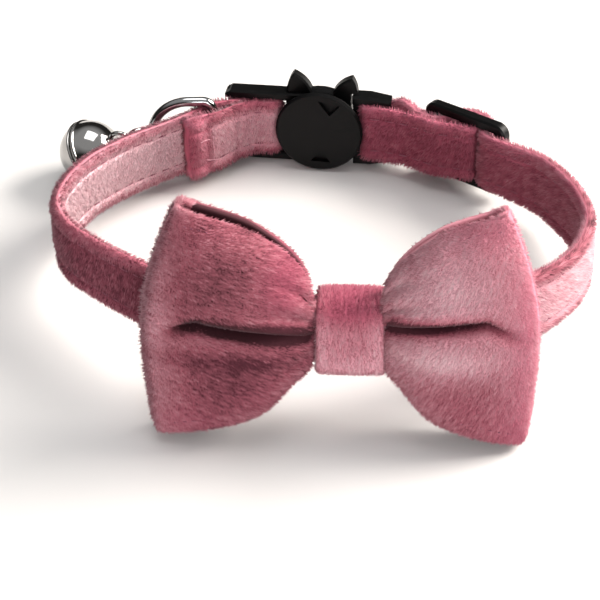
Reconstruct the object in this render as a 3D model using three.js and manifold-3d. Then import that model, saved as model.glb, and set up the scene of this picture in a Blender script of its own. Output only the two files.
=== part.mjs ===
// Pet bow tie collar: a velvet strap with a bow, a cat-head breakaway buckle, a slider,
// a D-ring and a jingle bell. Millimetres, +Z up.
//
// The collar is modelled in a frame of its own: X to the right, Y towards the buckle, Z along
// the strap's width with 0 at the strap's middle. It is then tipped until it stands on the two
// lower corners of the bow and on the buckle, as it stands on a table.

import * as THREE from 'three';
import { mergeVertices } from 'three/addons/utils/BufferGeometryUtils.js';
import Module from 'manifold-3d';

const wasm = await Module();
wasm.setup();

// Clearance that pieces keep from each other
const GAP = 0.3;

// Strap: velvet folded over a webbing core
const STRAP_WIDTH = 11;
const STRAP_THICKNESS = 1.7;
const FOLD_THICKNESS = 1.4;
const HEM_THICKNESS = 2.6;
const EDGE_ROOM = 0.32;
const STRAP_STEP = 3.4;

// Loop of the strap, seen from above
const LOOP_WIDTH = 84;
const LOOP_DEPTH = 55.6;
const FRONT_LIFT = 0.3;
const BACK_LIFT = 0.8;

// Buckle: along runs with the strap, out points away from the neck
const BUCKLE_ACROSS = -2;
const BUCKLE_YAW = -5;
const BUCKLE_LEFT = 16.6;
const BUCKLE_RIGHT = 12.2;
const RAIL_HEIGHT = 1.4;
const RAIL_DEPTH = 3;
const RAIL_OUT = 1.9;
const SQUEEZE = 0.91;
const BAR_RADIUS = 0.65;
const LEFT_BAR = { along: -9.7, out: 2.2 };
const RIGHT_BAR = { along: 9.5, out: 1.95 };
const END_BAR_WIDTH = 1.5;
const DISC_RADIUS = 7.55;
const DISC_FRONT = 1.5;
const DISC_BACK = 0.45;
const DISC_TURN = 3;
const DISC_LIFT = 0.4;
const CORE_RADIUS = 5.3;
const HEAD_RADIUS = 7;
const HEAD_BACK = 3.1;
const HEAD_THICKNESS = 2;
const EAR_HEIGHT = 3.6;
const HEAD_END = 5.3;
const RECESS_DEPTH = 0.8;
const TONGUE_WIDTH = 6.4;
const TONGUE_THICKNESS = 1.2;
const TONGUE_OUT = 1.1;
const TONGUE_REACH = 9;
const TONGUE_WALL = 1.2;
const LEFT_FOLD = 12.8;

// Slider
const SLIDER_LENGTH = 16.2;
const SLIDER_DEPTH = 2;
const SLIDER_RAIL = 1.5;
const SLIDER_CORNER = 2;
const SLIDER_END_BAR = 2.1;
const SLIDER_BAR = 1.3;
const SLIDER_ACROSS = 23.2;
const SLIDER_BACK = 50.9;
const SLIDER_YAW = -35;

// D-ring, jump ring and bell
const RING_WIRE = 1.7;
const RING_LENGTH = 10.8;
const RING_SWING = 3;
const JUMP_RADIUS = 2.7;
const JUMP_WIRE = 0.8;
const BELL_RADIUS = 5.4;
const BELL_WALL = 0.5;
const BELL_LIP = 0.3;
const BELL_FROM_RING = { across: -10.6, back: -2 };
const BELL_LOOP_RADIUS = 1.5;
const BELL_LOOP_WIRE = 0.8;
const BELL_SLOT = 1;
const BELL_HOLE = 1.9;
const PELLET_RADIUS = 1.7;

// Bow
const WING_LEFT = 30.2;
const WING_RIGHT = 26.6;
const LEFT_RISE = 18.9;
const RIGHT_RISE = 18.2;
const LEFT_DROP = 17.5;
const RIGHT_DROP = 17.9;
const WING_DEPTH = 4.2;
const WING_BACK_DEPTH = 0.2;
const BOW_WALL = 1.5;
const BOW_WAIST = 1.15;
const BOW_LEAN = 14;
const BOW_ACROSS = 6.4;
const BOW_RISE = 1.8;
const PLEAT_DEPTH = 0.66;
const LEFT_CREASE = { inner: -2.4, outer: 1.6 };
const RIGHT_CREASE = { inner: -0.2, outer: 2.4 };

// Knot band around the bow's waist and the strap
const KNOT_WIDTH = 8.8;
const KNOT_THICKNESS = 1.1;
const KNOT_NOSE = 0.74;
const KNOT_SQUEEZE = 0.8;

const VELVET = 0xc98397;
const BLACK = 0x17171a;
const CHROME = 0xc9ccd0;

// The strap's route around the neck from the left fold to the slider. across is a share of half
// the loop's width from its middle, back a share of its depth from the front, and lift a share
// of the lift and of the lean that the bow gives the strap at the front. wide is the share of its
// width that the knot leaves it.
const LOOP_ROUTE = [
  { across: -0.705, back: 0.872, lift: 0.08 },
  { across: -0.823, back: 0.792, lift: 0 },
  { across: -0.937, back: 0.676, lift: 0 },
  { across: -1.0, back: 0.535, lift: 0 },
  { across: -0.993, back: 0.43, lift: 0 },
  { across: -0.925, back: 0.335, lift: 0 },
  { across: -0.822, back: 0.262, lift: 0.02 },
  { across: -0.7, back: 0.186, lift: 0.06 },
  { across: -0.555, back: 0.112, lift: 0.2 },
  { across: -0.26, back: 0.034, lift: 0.7 },
  { across: -0.02, back: 0.004, lift: 1 },
  { across: 0.035, back: 0.002, lift: 1, wide: KNOT_SQUEEZE },
  { across: 0.152, back: 0.0, lift: 1, wide: KNOT_SQUEEZE },
  { across: 0.27, back: 0.002, lift: 1, wide: KNOT_SQUEEZE },
  { across: 0.33, back: 0.005, lift: 1 },
  { across: 0.53, back: 0.037, lift: 0.7 },
  { across: 0.73, back: 0.096, lift: 0.25 },
  { across: 0.82, back: 0.143, lift: 0.1 },
  { across: 0.9, back: 0.21, lift: 0.03 },
  { across: 0.957, back: 0.285, lift: 0 },
  { across: 1.0, back: 0.41, lift: 0 },
  { across: 0.978, back: 0.535, lift: 0 },
  { across: 0.915, back: 0.645, lift: 0 },
  { across: 0.83, back: 0.738, lift: 0.05 },
];

// The line between the two layers of the left fold, from the buckle's bar to the hem. along and
// sink are shares of the fold's length, room says what lies between the layers, and width is a
// share of the strap's width, which the buckle's frame squeezes.
const FOLD_SEAM = [
  { along: 0.2, sink: 0.1, room: 'slack', width: 0.91 },
  { along: 0.39, sink: 0.245, room: 'slack', width: 0.93 },
  { along: 0.64, sink: 0.455, room: 'ring', width: 1 },
  { along: 0.83, sink: 0.615, room: 'hem', width: 1 },
  { along: 1.0, sink: 0.765, room: 'hem', width: 1 },
];

// Half of the strap's section, from its lower to its upper edge: a stitched groove runs along
// both edges. up is a share of half the width, out a share of half the thickness.
const STRAP_SECTION = [
  { up: -1, out: 0.3 },
  { up: -0.94, out: 0.88 },
  { up: -0.78, out: 1 },
  { up: -0.62, out: 0.78 },
  { up: -0.46, out: 0.96 },
  { up: 0.46, out: 0.96 },
  { up: 0.62, out: 0.78 },
  { up: 0.78, out: 1 },
  { up: 0.94, out: 0.88 },
  { up: 1, out: 0.3 },
];

// A wing of the bow from the waist to its folded edge. reach is a share of the wing's length,
// depth of the wing's depth, rise and drop of its height, pleat of the pleat's depth.
const WING_ROWS = [
  { reach: 0.0, depth: 0.0, rise: 0.1, drop: 0.3, pleat: 0 },
  { reach: 0.18, depth: 0.02, rise: 0.1, drop: 0.3, pleat: 0.1 },
  { reach: 0.21, depth: 0.25, rise: 0.4, drop: 0.42, pleat: 0.75 },
  { reach: 0.29, depth: 0.6, rise: 0.59, drop: 0.58, pleat: 1 },
  { reach: 0.4, depth: 0.88, rise: 0.73, drop: 0.74, pleat: 1 },
  { reach: 0.53, depth: 1.0, rise: 0.84, drop: 0.86, pleat: 0.9 },
  { reach: 0.67, depth: 0.97, rise: 0.905, drop: 0.93, pleat: 0.65 },
  { reach: 0.8, depth: 0.84, rise: 0.95, drop: 0.97, pleat: 0.35 },
  { reach: 0.9, depth: 0.62, rise: 0.98, drop: 0.99, pleat: 0.1 },
  { reach: 0.965, depth: 0.34, rise: 0.995, drop: 1.0, pleat: 0 },
  { reach: 1.0, depth: -0.12, rise: 1.0, drop: 1.0, pleat: 0 },
];

// Levels up a wing. level is a share of the height above or below the middle, inset the share
// of the wing's length by which its folded edge draws in, fold how much of the pleat is there.
const WING_LEVELS = [
  { level: -1, inset: 0.05, fold: 0 },
  { level: -0.96, inset: 0.044, fold: 0 },
  { level: -0.8, inset: 0.028, fold: 0 },
  { level: -0.58, inset: 0.015, fold: 0 },
  { level: -0.36, inset: 0.004, fold: -0.12 },
  { level: -0.18, inset: 0, fold: 0.1 },
  { level: -0.07, inset: 0, fold: 0.75 },
  { level: 0.0, inset: 0.001, fold: 1 },
  { level: 0.035, inset: 0.002, fold: 0.3 },
  { level: 0.12, inset: 0.006, fold: -0.16 },
  { level: 0.34, inset: 0.034, fold: -0.14 },
  { level: 0.56, inset: 0.074, fold: 0 },
  { level: 0.78, inset: 0.124, fold: 0 },
  { level: 0.96, inset: 0.172, fold: 0 },
  { level: 1, inset: 0.186, fold: 0 },
];

// Corner points of the two recesses on the disc, as shares of the disc's radius
const RECESSES = [
  [{ along: -0.05, up: 0.82 }, { along: 0.46, up: 0.74 }, { along: 0.23, up: 0.46 }],
  [{ along: -0.17, up: -0.76 }, { along: 0.29, up: -0.76 }, { along: 0.09, up: -0.47 }],
];

const radians = THREE.MathUtils.degToRad;
const lerp = THREE.MathUtils.lerp;

const velvet = new THREE.MeshStandardMaterial({ color: VELVET, roughness: 0.95, metalness: 0 });
const plastic = new THREE.MeshStandardMaterial({ color: BLACK, roughness: 0.45, metalness: 0 });
const chrome = new THREE.MeshStandardMaterial({ color: CHROME, roughness: 0.12, metalness: 1 });

function piece(name, geometry, material) {
  const mesh = new THREE.Mesh(geometry, material);
  mesh.name = name;
  return mesh;
}

// A closed solid from rings of points. With closed it runs round into itself, otherwise
// its ends are capped.
function skin(rings, closed) {
  const size = rings[0].length;
  const points = rings.flat();
  const index = [];
  const count = closed ? rings.length : rings.length - 1;
  for (let i = 0; i < count; i += 1) {
    const next = (i + 1) % rings.length;
    for (let j = 0; j < size; j += 1) {
      const k = (j + 1) % size;
      const [a, b, c, d] = [i * size + j, i * size + k, next * size + k, next * size + j];
      index.push(a, b, c, a, c, d);
    }
  }
  if (!closed) {
    for (const [ring, turned] of [[0, true], [rings.length - 1, false]]) {
      const middle = new THREE.Vector3();
      rings[ring].forEach((p) => middle.addScaledVector(p, 1 / size));
      const centre = points.push(middle) - 1;
      for (let j = 0; j < size; j += 1) {
        const a = ring * size + j;
        const b = ring * size + ((j + 1) % size);
        index.push(...(turned ? [centre, b, a] : [centre, a, b]));
      }
    }
  }
  const geometry = new THREE.BufferGeometry();
  geometry.setAttribute('position', new THREE.Float32BufferAttribute(points.flatMap((p) => p.toArray()), 3));
  geometry.setIndex(index);
  return facingOut(geometry);
}

// Turns every face round if the solid's volume comes out negative
function facingOut(geometry) {
  const at = geometry.attributes.position;
  const index = geometry.index.array;
  const [a, b, c] = [new THREE.Vector3(), new THREE.Vector3(), new THREE.Vector3()];
  let volume = 0;
  for (let i = 0; i < index.length; i += 3) {
    a.fromBufferAttribute(at, index[i]);
    b.fromBufferAttribute(at, index[i + 1]);
    c.fromBufferAttribute(at, index[i + 2]);
    volume += a.dot(b.cross(c));
  }
  if (volume < 0) {
    for (let i = 0; i < index.length; i += 3) {
      [index[i], index[i + 1]] = [index[i + 1], index[i]];
    }
  }
  return geometry;
}

function toSolid(geometry) {
  const bare = geometry.clone();
  bare.deleteAttribute('normal');
  bare.deleteAttribute('uv');
  const merged = mergeVertices(bare, 1e-4);
  return new wasm.Manifold(new wasm.Mesh({
    numProp: 3,
    vertProperties: new Float32Array(merged.attributes.position.array),
    triVerts: new Uint32Array(merged.index.array),
  }));
}

function fromSolid(solid) {
  const mesh = solid.getMesh();
  const geometry = new THREE.BufferGeometry();
  geometry.setAttribute('position', new THREE.BufferAttribute(new Float32Array(mesh.vertProperties), 3));
  geometry.setIndex(new THREE.BufferAttribute(new Uint32Array(mesh.triVerts), 1));
  return geometry;
}

function join(...geometries) {
  return geometries.map(toSolid).reduce((sum, solid) => sum.add(solid));
}

// A flat plate whose outline is drawn in along and up, from its outer face inwards
function plate(shape, outerFace, depth, bevel) {
  const geometry = new THREE.ExtrudeGeometry(shape, {
    depth: depth - 2 * bevel,
    bevelEnabled: bevel > 0,
    bevelThickness: bevel,
    bevelSize: bevel,
    bevelOffset: -bevel,
    bevelSegments: 1,
    curveSegments: 10,
  });
  geometry.rotateX(Math.PI / 2);
  return geometry.translate(0, outerFace - bevel, 0);
}

function block(x0, x1, y0, y1, z0, z1) {
  return new THREE.BoxGeometry(x1 - x0, y1 - y0, z1 - z0)
    .translate((x0 + x1) / 2, (y0 + y1) / 2, (z0 + z1) / 2);
}

// Places on the collar: a spot on the loop, and frames that follow the buckle and the slider
const atLoop = (across, back) => new THREE.Vector2(
  (across * LOOP_WIDTH) / 2,
  back * LOOP_DEPTH,
);

function frameAt(centre, yaw) {
  const turn = radians(yaw);
  return (along, out) => new THREE.Vector2(along, out).rotateAround(new THREE.Vector2(), turn).add(centre);
}

const onBuckle = frameAt(new THREE.Vector2(BUCKLE_ACROSS, LOOP_DEPTH), BUCKLE_YAW);
const onSlider = frameAt(new THREE.Vector2(SLIDER_ACROSS, SLIDER_BACK), SLIDER_YAW);

const LAYER = FOLD_THICKNESS / 2;
const SLOT_HALF = STRAP_WIDTH / 2 + EDGE_ROOM;
const FRAME_HALF = (STRAP_WIDTH * SQUEEZE) / 2 + GAP * 0.7;
const WRAP_RADIUS = BAR_RADIUS + GAP + LAYER;

// Points round a bar, from one angle to another in degrees
function wrap(place, bar, radius, from, to, steps) {
  return Array.from({ length: steps + 1 }, (_, i) => {
    const angle = radians(lerp(from, to, i / steps));
    return place(bar.along + radius * Math.cos(angle), bar.out + radius * Math.sin(angle));
  });
}

const roomBetween = { slack: GAP, ring: RING_WIRE / 2 + GAP, hem: GAP / 2 };

function foldSeam() {
  return FOLD_SEAM.map((row) => ({
    at: onBuckle(LEFT_BAR.along - row.along * LEFT_FOLD, LEFT_BAR.out - row.sink * LEFT_FOLD),
    room: roomBetween[row.room],
    hem: row.room === 'hem',
    wide: row.width,
  }));
}

// Both layers of the left fold lie beside the seam line, with what is caught between them
function foldLayer(seam, side) {
  return seam.map(({ at, room, hem, wide }, i) => {
    const before = seam[Math.max(i - 1, 0)].at;
    const after = seam[Math.min(i + 1, seam.length - 1)].at;
    const out = after.clone().sub(before).normalize();
    out.set(out.y, -out.x);
    const thick = hem && side < 0 ? HEM_THICKNESS : FOLD_THICKNESS;
    const spot = at.clone().addScaledVector(out, side * (room + thick / 2));
    return { at: spot, thick, wide, lift: BACK_LIFT };
  });
}

// The strap's whole route, from the hem inside the left fold, round the buckle's left bar, the
// neck, through the slider, round the right bar and back to the slider's middle bar
function strapRoute() {
  const seam = foldSeam();
  const plain = (at, wide = SQUEEZE) => ({ at, wide, thick: FOLD_THICKNESS, lift: BACK_LIFT });
  const inner = foldLayer(seam, -1).reverse();
  const outer = foldLayer(seam.slice(0, -1), 1);
  const leftWrap = wrap(onBuckle, LEFT_BAR, WRAP_RADIUS, -80, 95, 6);
  const loop = LOOP_ROUTE.map((row) => ({
    at: atLoop(row.across, row.back),
    thick: STRAP_THICKNESS,
    wide: row.wide ?? 1,
    lift: row.lift * FRONT_LIFT,
    lean: row.lift * BOW_LEAN,
  }));

  const middle = { along: 0, out: 0 };
  const hug = Math.hypot(SLIDER_BAR, SLIDER_DEPTH) / 2 + GAP / 3 + LAYER;
  const over = hug + LAYER + GAP + LAYER;
  const under = SLIDER_DEPTH / 2 + GAP + LAYER;
  const end = SLIDER_LENGTH / 2;
  const turn = over + 0.1 * over;
  const through = [
    onSlider(end, -under),
    onSlider(end - SLIDER_END_BAR, -under),
    onSlider(turn, -under / 2),
    ...wrap(onSlider, middle, over, 12, 168, 6),
    onSlider(-turn, -under / 2),
    onSlider(SLIDER_END_BAR - end, -under),
    onSlider(-end, -under),
  ];
  const rightWrap = wrap(onBuckle, RIGHT_BAR, WRAP_RADIUS, 85, 268, 6);
  const slack = through[through.length - 1].clone().lerp(rightWrap[0], 0.5)
    .add(onBuckle(0, WRAP_RADIUS / 3).sub(onBuckle(0, 0)));
  const deep = under + FOLD_THICKNESS + GAP;
  const back = [
    onSlider(-end + GAP, -deep),
    onSlider(-turn, -deep + GAP),
    ...wrap(onSlider, middle, hug, -100, 110, 6),
  ];
  return [
    ...inner,
    ...leftWrap.map((at) => plain(at)),
    ...outer,
    ...loop,
    ...[...through, slack, ...rightWrap, ...back].map((at) => plain(at)),
  ];
}

// Stations along a smooth curve through the route, closer where it bends
function stations(route) {
  const curve = new THREE.CatmullRomCurve3(
    route.map(({ at, lift }) => new THREE.Vector3(at.x, at.y, lift)),
    false,
    'centripetal',
  );
  const spans = route.length - 1;
  const list = [];
  for (let i = 0; i < spans; i += 1) {
    const [here, next] = [route[i], route[i + 1]];
    const steps = Math.max(1, Math.round(here.at.distanceTo(next.at) / STRAP_STEP));
    for (let k = 0; k < steps; k += 1) {
      const t = (i + k / steps) / spans;
      list.push({
        at: curve.getPoint(t),
        way: curve.getTangent(t),
        thick: lerp(here.thick, next.thick, k / steps),
        wide: lerp(here.wide ?? 1, next.wide ?? 1, k / steps),
        lean: lerp(here.lean ?? 0, next.lean ?? 0, k / steps),
      });
    }
  }
  const last = route[spans];
  list.push({ at: curve.getPoint(1), way: curve.getTangent(1), thick: last.thick, wide: last.wide, lean: 0 });
  return list;
}

function strap(route) {
  const halfWidth = STRAP_WIDTH / 2;
  const rings = stations(route).map(({ at, way, thick, wide, lean }) => {
    const along = new THREE.Vector3(way.x, way.y, 0).normalize();
    const out = new THREE.Vector3(way.y, -way.x, 0).normalize().applyAxisAngle(along, -radians(lean));
    const up = new THREE.Vector3(0, 0, 1).applyAxisAngle(along, -radians(lean));
    const face = (side) => STRAP_SECTION.map((row) => at.clone()
      .addScaledVector(out, (side * row.out * thick) / 2)
      .addScaledVector(up, row.up * wide * halfWidth));
    return [...face(1), ...face(-1).reverse()];
  });
  return piece('strap', skin(rings, false), velvet);
}

// The bow and its knot are drawn with the strap's middle as origin, and lean back with it
const WAIST_HALF = BOW_WAIST + BOW_WALL / 2;
const WAIST_Y = -STRAP_THICKNESS / 2 - GAP - WAIST_HALF;

function placeAtFront(mesh) {
  mesh.position.set(BOW_ACROSS, 0, FRONT_LIFT);
  mesh.rotation.x = -radians(BOW_LEAN);
  return mesh;
}

// A point in the middle of the bow's cloth: wing is -1 for the left and 1 for the right, face
// is 1 for the front layer and -1 for the back one
function bowPoint(wing, face, row, level) {
  const length = wing < 0 ? WING_LEFT : WING_RIGHT;
  const rise = row.rise * (wing < 0 ? LEFT_RISE : RIGHT_RISE);
  const drop = row.drop * (wing < 0 ? LEFT_DROP : RIGHT_DROP);
  const height = level.level > 0 ? rise : drop;
  const crease = wing < 0 ? LEFT_CREASE : RIGHT_CREASE;
  const shift = Math.min(1, row.pleat * 2) * lerp(crease.inner, crease.outer, row.reach);
  const up = BOW_RISE + level.level * height + shift * (1 - level.level ** 2);
  const reach = row.reach * length * (1 - level.inset * row.reach ** 2);
  const rim = 1 - 0.85 * level.level ** 4;
  const pleat = 1 - PLEAT_DEPTH * row.pleat * level.fold;
  const bulge = row.depth * (face > 0 ? WING_DEPTH * pleat : WING_BACK_DEPTH) * rim;
  const tuck = row.depth < 0 ? -BOW_WAIST : bulge;
  return new THREE.Vector3(wing * reach, WAIST_Y - face * (BOW_WAIST + tuck), up);
}

// The bow is one wide band of cloth, sewn into a ring and flattened, open above and below
function bow() {
  const rows = WING_ROWS;
  const spots = [
    ...rows.map((row) => [-1, 1, row]).reverse(),
    ...rows.slice(1).map((row) => [1, 1, row]),
    ...rows.slice(0, -1).map((row) => [1, -1, row]).reverse(),
    ...rows.slice(1, -1).map((row) => [-1, -1, row]),
  ];
  const middle = spots.map((spot) => WING_LEVELS.map((level) => bowPoint(...spot, level)));
  const rings = middle.map((here, i) => {
    const before = middle[(i + middle.length - 1) % middle.length];
    const after = middle[(i + 1) % middle.length];
    const outside = [];
    const inside = [];
    here.forEach((p, j) => {
      const way = after[j].clone().sub(before[j]);
      const out = new THREE.Vector3(way.y, -way.x, 0).normalize();
      const rim = j === 0 || j === here.length - 1 ? 0.25 : 1;
      outside.push(p.clone().addScaledVector(out, (rim * BOW_WALL) / 2));
      inside.push(p.clone().addScaledVector(out, (-rim * BOW_WALL) / 2));
    });
    return [...outside, ...inside.reverse()];
  });
  return placeAtFront(piece('bow_loops', skin(rings, true), velvet));
}

// The band that ties the bow's waist to the strap. It is as high as the strap behind and
// narrows to its nose in front.
function knot() {
  const backFace = STRAP_THICKNESS / 2 + GAP;
  const frontFace = WAIST_Y - WAIST_HALF - GAP;
  const halfDepth = (backFace - frontFace + KNOT_THICKNESS) / 2;
  const halfHeight = (STRAP_WIDTH / 2) * KNOT_SQUEEZE + GAP + KNOT_THICKNESS * 0.9;
  const centre = (backFace + frontFace) / 2;
  const steps = 32;
  const corner = 0.28;
  const section = [[-1, -0.35], [-0.9, -1], [0.9, -1], [1, -0.35], [1, 0.35], [0.9, 1], [0, 1.12], [-0.9, 1], [-1, 0.35]];
  const rings = Array.from({ length: steps }, (_, i) => {
    const angle = (2 * Math.PI * (i + 0.5)) / steps;
    const [c, s] = [Math.cos(angle), Math.sin(angle)];
    const deep = Math.sign(c) * Math.abs(c) ** corner;
    const nose = lerp(1, KNOT_NOSE, Math.min(1, Math.max(0, -deep)));
    const round = new THREE.Vector3(0, centre + deep * halfDepth, Math.sign(s) * Math.abs(s) ** corner * halfHeight * nose);
    const out = new THREE.Vector3(0, c * halfHeight, s * halfDepth).normalize();
    return section.map(([across, thick]) => round.clone()
      .add(new THREE.Vector3((across * KNOT_WIDTH) / 2, 0, 0))
      .addScaledVector(out, (thick * KNOT_THICKNESS) / 2));
  });
  return placeAtFront(piece('knot_band', skin(rings, true), velvet));
}

function placeOnBuckle(mesh) {
  mesh.position.set(BUCKLE_ACROSS, LOOP_DEPTH, BACK_LIFT);
  mesh.rotation.z = radians(BUCKLE_YAW);
  return mesh;
}

const RAIL_TOP = FRAME_HALF + RAIL_HEIGHT;

// Two rails above and below the strap, whose outer corners slope down over a length of cut
function rails(from, to, cut) {
  const rail = new THREE.Shape([
    new THREE.Vector2(from, FRAME_HALF),
    new THREE.Vector2(from, RAIL_TOP),
    new THREE.Vector2(to - cut, RAIL_TOP),
    new THREE.Vector2(to, RAIL_TOP - RAIL_HEIGHT * 0.5),
    new THREE.Vector2(to, FRAME_HALF),
  ]);
  const upper = plate(rail, RAIL_DEPTH / 2, RAIL_DEPTH, 0.25);
  const lower = upper.clone().rotateX(Math.PI);
  return [upper, lower].map((one) => one.translate(0, RAIL_OUT, 0));
}

function bar(at, radius) {
  return new THREE.CylinderGeometry(radius, radius, 2 * FRAME_HALF + RAIL_HEIGHT, 12)
    .rotateX(Math.PI / 2)
    .translate(at.along, at.out, 0);
}

function ear(side) {
  const base = HEAD_RADIUS * 0.2;
  const far = HEAD_RADIUS * 0.88;
  const tip = HEAD_RADIUS * 0.72;
  const shape = new THREE.Shape();
  shape.moveTo(side * base, HEAD_RADIUS * 0.7);
  shape.quadraticCurveTo(side * base * 1.35, HEAD_RADIUS * 1.2, side * tip, HEAD_RADIUS * 0.86 + EAR_HEIGHT);
  shape.quadraticCurveTo(side * far * 1.08, HEAD_RADIUS * 1.1, side * far, HEAD_RADIUS * 0.35);
  return plate(shape, HEAD_BACK, HEAD_THICKNESS, 0.3);
}

function roundPlate(radius, outerFace, innerFace, bevel) {
  const edge = (outerFace - innerFace) / 2;
  const profile = [
    [0, -edge], [radius - bevel, -edge], [radius, bevel - edge],
    [radius, edge - bevel], [radius - bevel, edge], [0, edge],
  ].map(([x, y]) => new THREE.Vector2(x, y));
  return new THREE.LatheGeometry(profile, 40).translate(0, (outerFace + innerFace) / 2, 0);
}

// Left half of the buckle: the cat's head with its ears outside, the round disc inside, and
// two bars between rails. The strap passes under the end bar and round the other.
function buckleHead() {
  const end = -BUCKLE_LEFT;
  const channel = TONGUE_WIDTH / 2 + GAP;
  const slotTop = TONGUE_THICKNESS / 2 + GAP;
  const wallRoom = RAIL_TOP + GAP;
  const turned = (geometry) => geometry.rotateY(radians(DISC_TURN)).translate(0, 0, DISC_LIFT);
  const solid = join(
    turned(roundPlate(DISC_RADIUS, -DISC_BACK, -DISC_FRONT, 0.35)),
    turned(roundPlate(CORE_RADIUS, HEAD_BACK - HEAD_THICKNESS / 2, -DISC_FRONT / 2, 0.1)),
    turned(roundPlate(HEAD_RADIUS, HEAD_BACK, HEAD_BACK - HEAD_THICKNESS, 0.5)),
    turned(ear(-1)),
    turned(ear(1)),
    ...rails(-DISC_RADIUS / 3, end, -RAIL_HEIGHT * 0.7),
    block(end + GAP, end + GAP + END_BAR_WIDTH, RAIL_OUT, RAIL_OUT + RAIL_DEPTH / 2 - GAP, GAP - RAIL_TOP, RAIL_TOP - GAP),
    bar(LEFT_BAR, BAR_RADIUS),
  );
  const cuts = [
    block(DISC_RADIUS - TONGUE_REACH - GAP, HEAD_RADIUS + 1, TONGUE_OUT - slotTop, TONGUE_OUT + slotTop, -channel, channel),
    block(HEAD_END, HEAD_RADIUS + 2, 0, HEAD_BACK + 1, -wallRoom, wallRoom),
    block(-HEAD_RADIUS - 1, LEFT_BAR.along + WRAP_RADIUS + LAYER + GAP, 0, HEAD_BACK + 1, -FRAME_HALF, FRAME_HALF),
    ...RECESSES.map((corners) => turned(plate(
      new THREE.Shape(corners.map(({ along, up }) => new THREE.Vector2(along * DISC_RADIUS, up * DISC_RADIUS))),
      -DISC_FRONT + RECESS_DEPTH,
      2 * RECESS_DEPTH,
      0,
    ))),
  ];
  const cut = cuts.reduce((rest, room) => rest.subtract(toSolid(room)), solid);
  return placeOnBuckle(piece('buckle_head', fromSolid(cut), plastic));
}

// Right half: rails, a bar for the strap and the flat tongue that plugs into the head
function buckleTongue() {
  const from = HEAD_END + GAP;
  const half = TONGUE_THICKNESS / 2;
  const inner = RAIL_OUT - RAIL_DEPTH / 2;
  const solid = join(
    ...rails(from, BUCKLE_RIGHT, RAIL_HEIGHT * 2.6),
    bar(RIGHT_BAR, BAR_RADIUS),
    block(from + 0.1, from + TONGUE_WALL, inner + 0.1, RAIL_OUT + RAIL_DEPTH / 2 - 0.1, -FRAME_HALF - RAIL_HEIGHT / 2, FRAME_HALF + RAIL_HEIGHT / 2),
    block(DISC_RADIUS - TONGUE_REACH, from + TONGUE_WALL / 2, TONGUE_OUT - half, TONGUE_OUT + half, -TONGUE_WIDTH / 2, TONGUE_WIDTH / 2),
  );
  return placeOnBuckle(piece('buckle_tongue', fromSolid(solid), plastic));
}

function roundedRectangle(path, x0, x1, z0, z1, radius) {
  path.moveTo(x0 + radius, z0);
  path.lineTo(x1 - radius, z0);
  path.absarc(x1 - radius, z0 + radius, radius, -Math.PI / 2, 0);
  path.lineTo(x1, z1 - radius);
  path.absarc(x1 - radius, z1 - radius, radius, 0, Math.PI / 2);
  path.lineTo(x0 + radius, z1);
  path.absarc(x0 + radius, z1 - radius, radius, Math.PI / 2, Math.PI);
  path.lineTo(x0, z0 + radius);
  path.absarc(x0 + radius, z0 + radius, radius, Math.PI, 1.5 * Math.PI);
  return path;
}

// Slider with three bars; the strap runs over the middle one and ends round it
function slider() {
  const end = SLIDER_LENGTH / 2;
  const top = FRAME_HALF + SLIDER_RAIL;
  const shape = roundedRectangle(new THREE.Shape(), -end, end, -top, top, SLIDER_CORNER);
  const slotEnd = end - SLIDER_END_BAR;
  let solid = toSolid(plate(shape, SLIDER_DEPTH / 2, SLIDER_DEPTH, 0.3));
  for (const [from, to] of [[-slotEnd, -SLIDER_BAR / 2], [SLIDER_BAR / 2, slotEnd]]) {
    solid = solid.subtract(toSolid(block(from, to, -SLIDER_DEPTH, SLIDER_DEPTH, -FRAME_HALF, FRAME_HALF)));
  }
  const mesh = piece('slider', fromSolid(solid), plastic);
  mesh.position.set(SLIDER_ACROSS, SLIDER_BACK, BACK_LIFT);
  mesh.rotation.z = radians(SLIDER_YAW);
  return mesh;
}

// A round wire along a closed line of points that lies in one plane
function wireRing(line, wire, sides, normal) {
  const rings = line.map((p, i) => {
    const before = line[(i + line.length - 1) % line.length];
    const after = line[(i + 1) % line.length];
    const out = after.clone().sub(before).cross(normal).normalize();
    return Array.from({ length: sides }, (_, k) => {
      const angle = (2 * Math.PI * k) / sides;
      return p.clone()
        .addScaledVector(out, (wire / 2) * Math.cos(angle))
        .addScaledVector(normal, (wire / 2) * Math.sin(angle));
    });
  });
  return skin(rings, true);
}

const RING_HALF = SLOT_HALF + RING_WIRE / 2;
const RING_SEAT = foldSeam()[2].at;
const RING_WAY = new THREE.Vector3(-Math.cos(radians(RING_SWING)), -Math.sin(radians(RING_SWING)), 0);
const RING_TIP = new THREE.Vector3(RING_SEAT.x, RING_SEAT.y, BACK_LIFT).addScaledVector(RING_WAY, RING_LENGTH);

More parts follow.
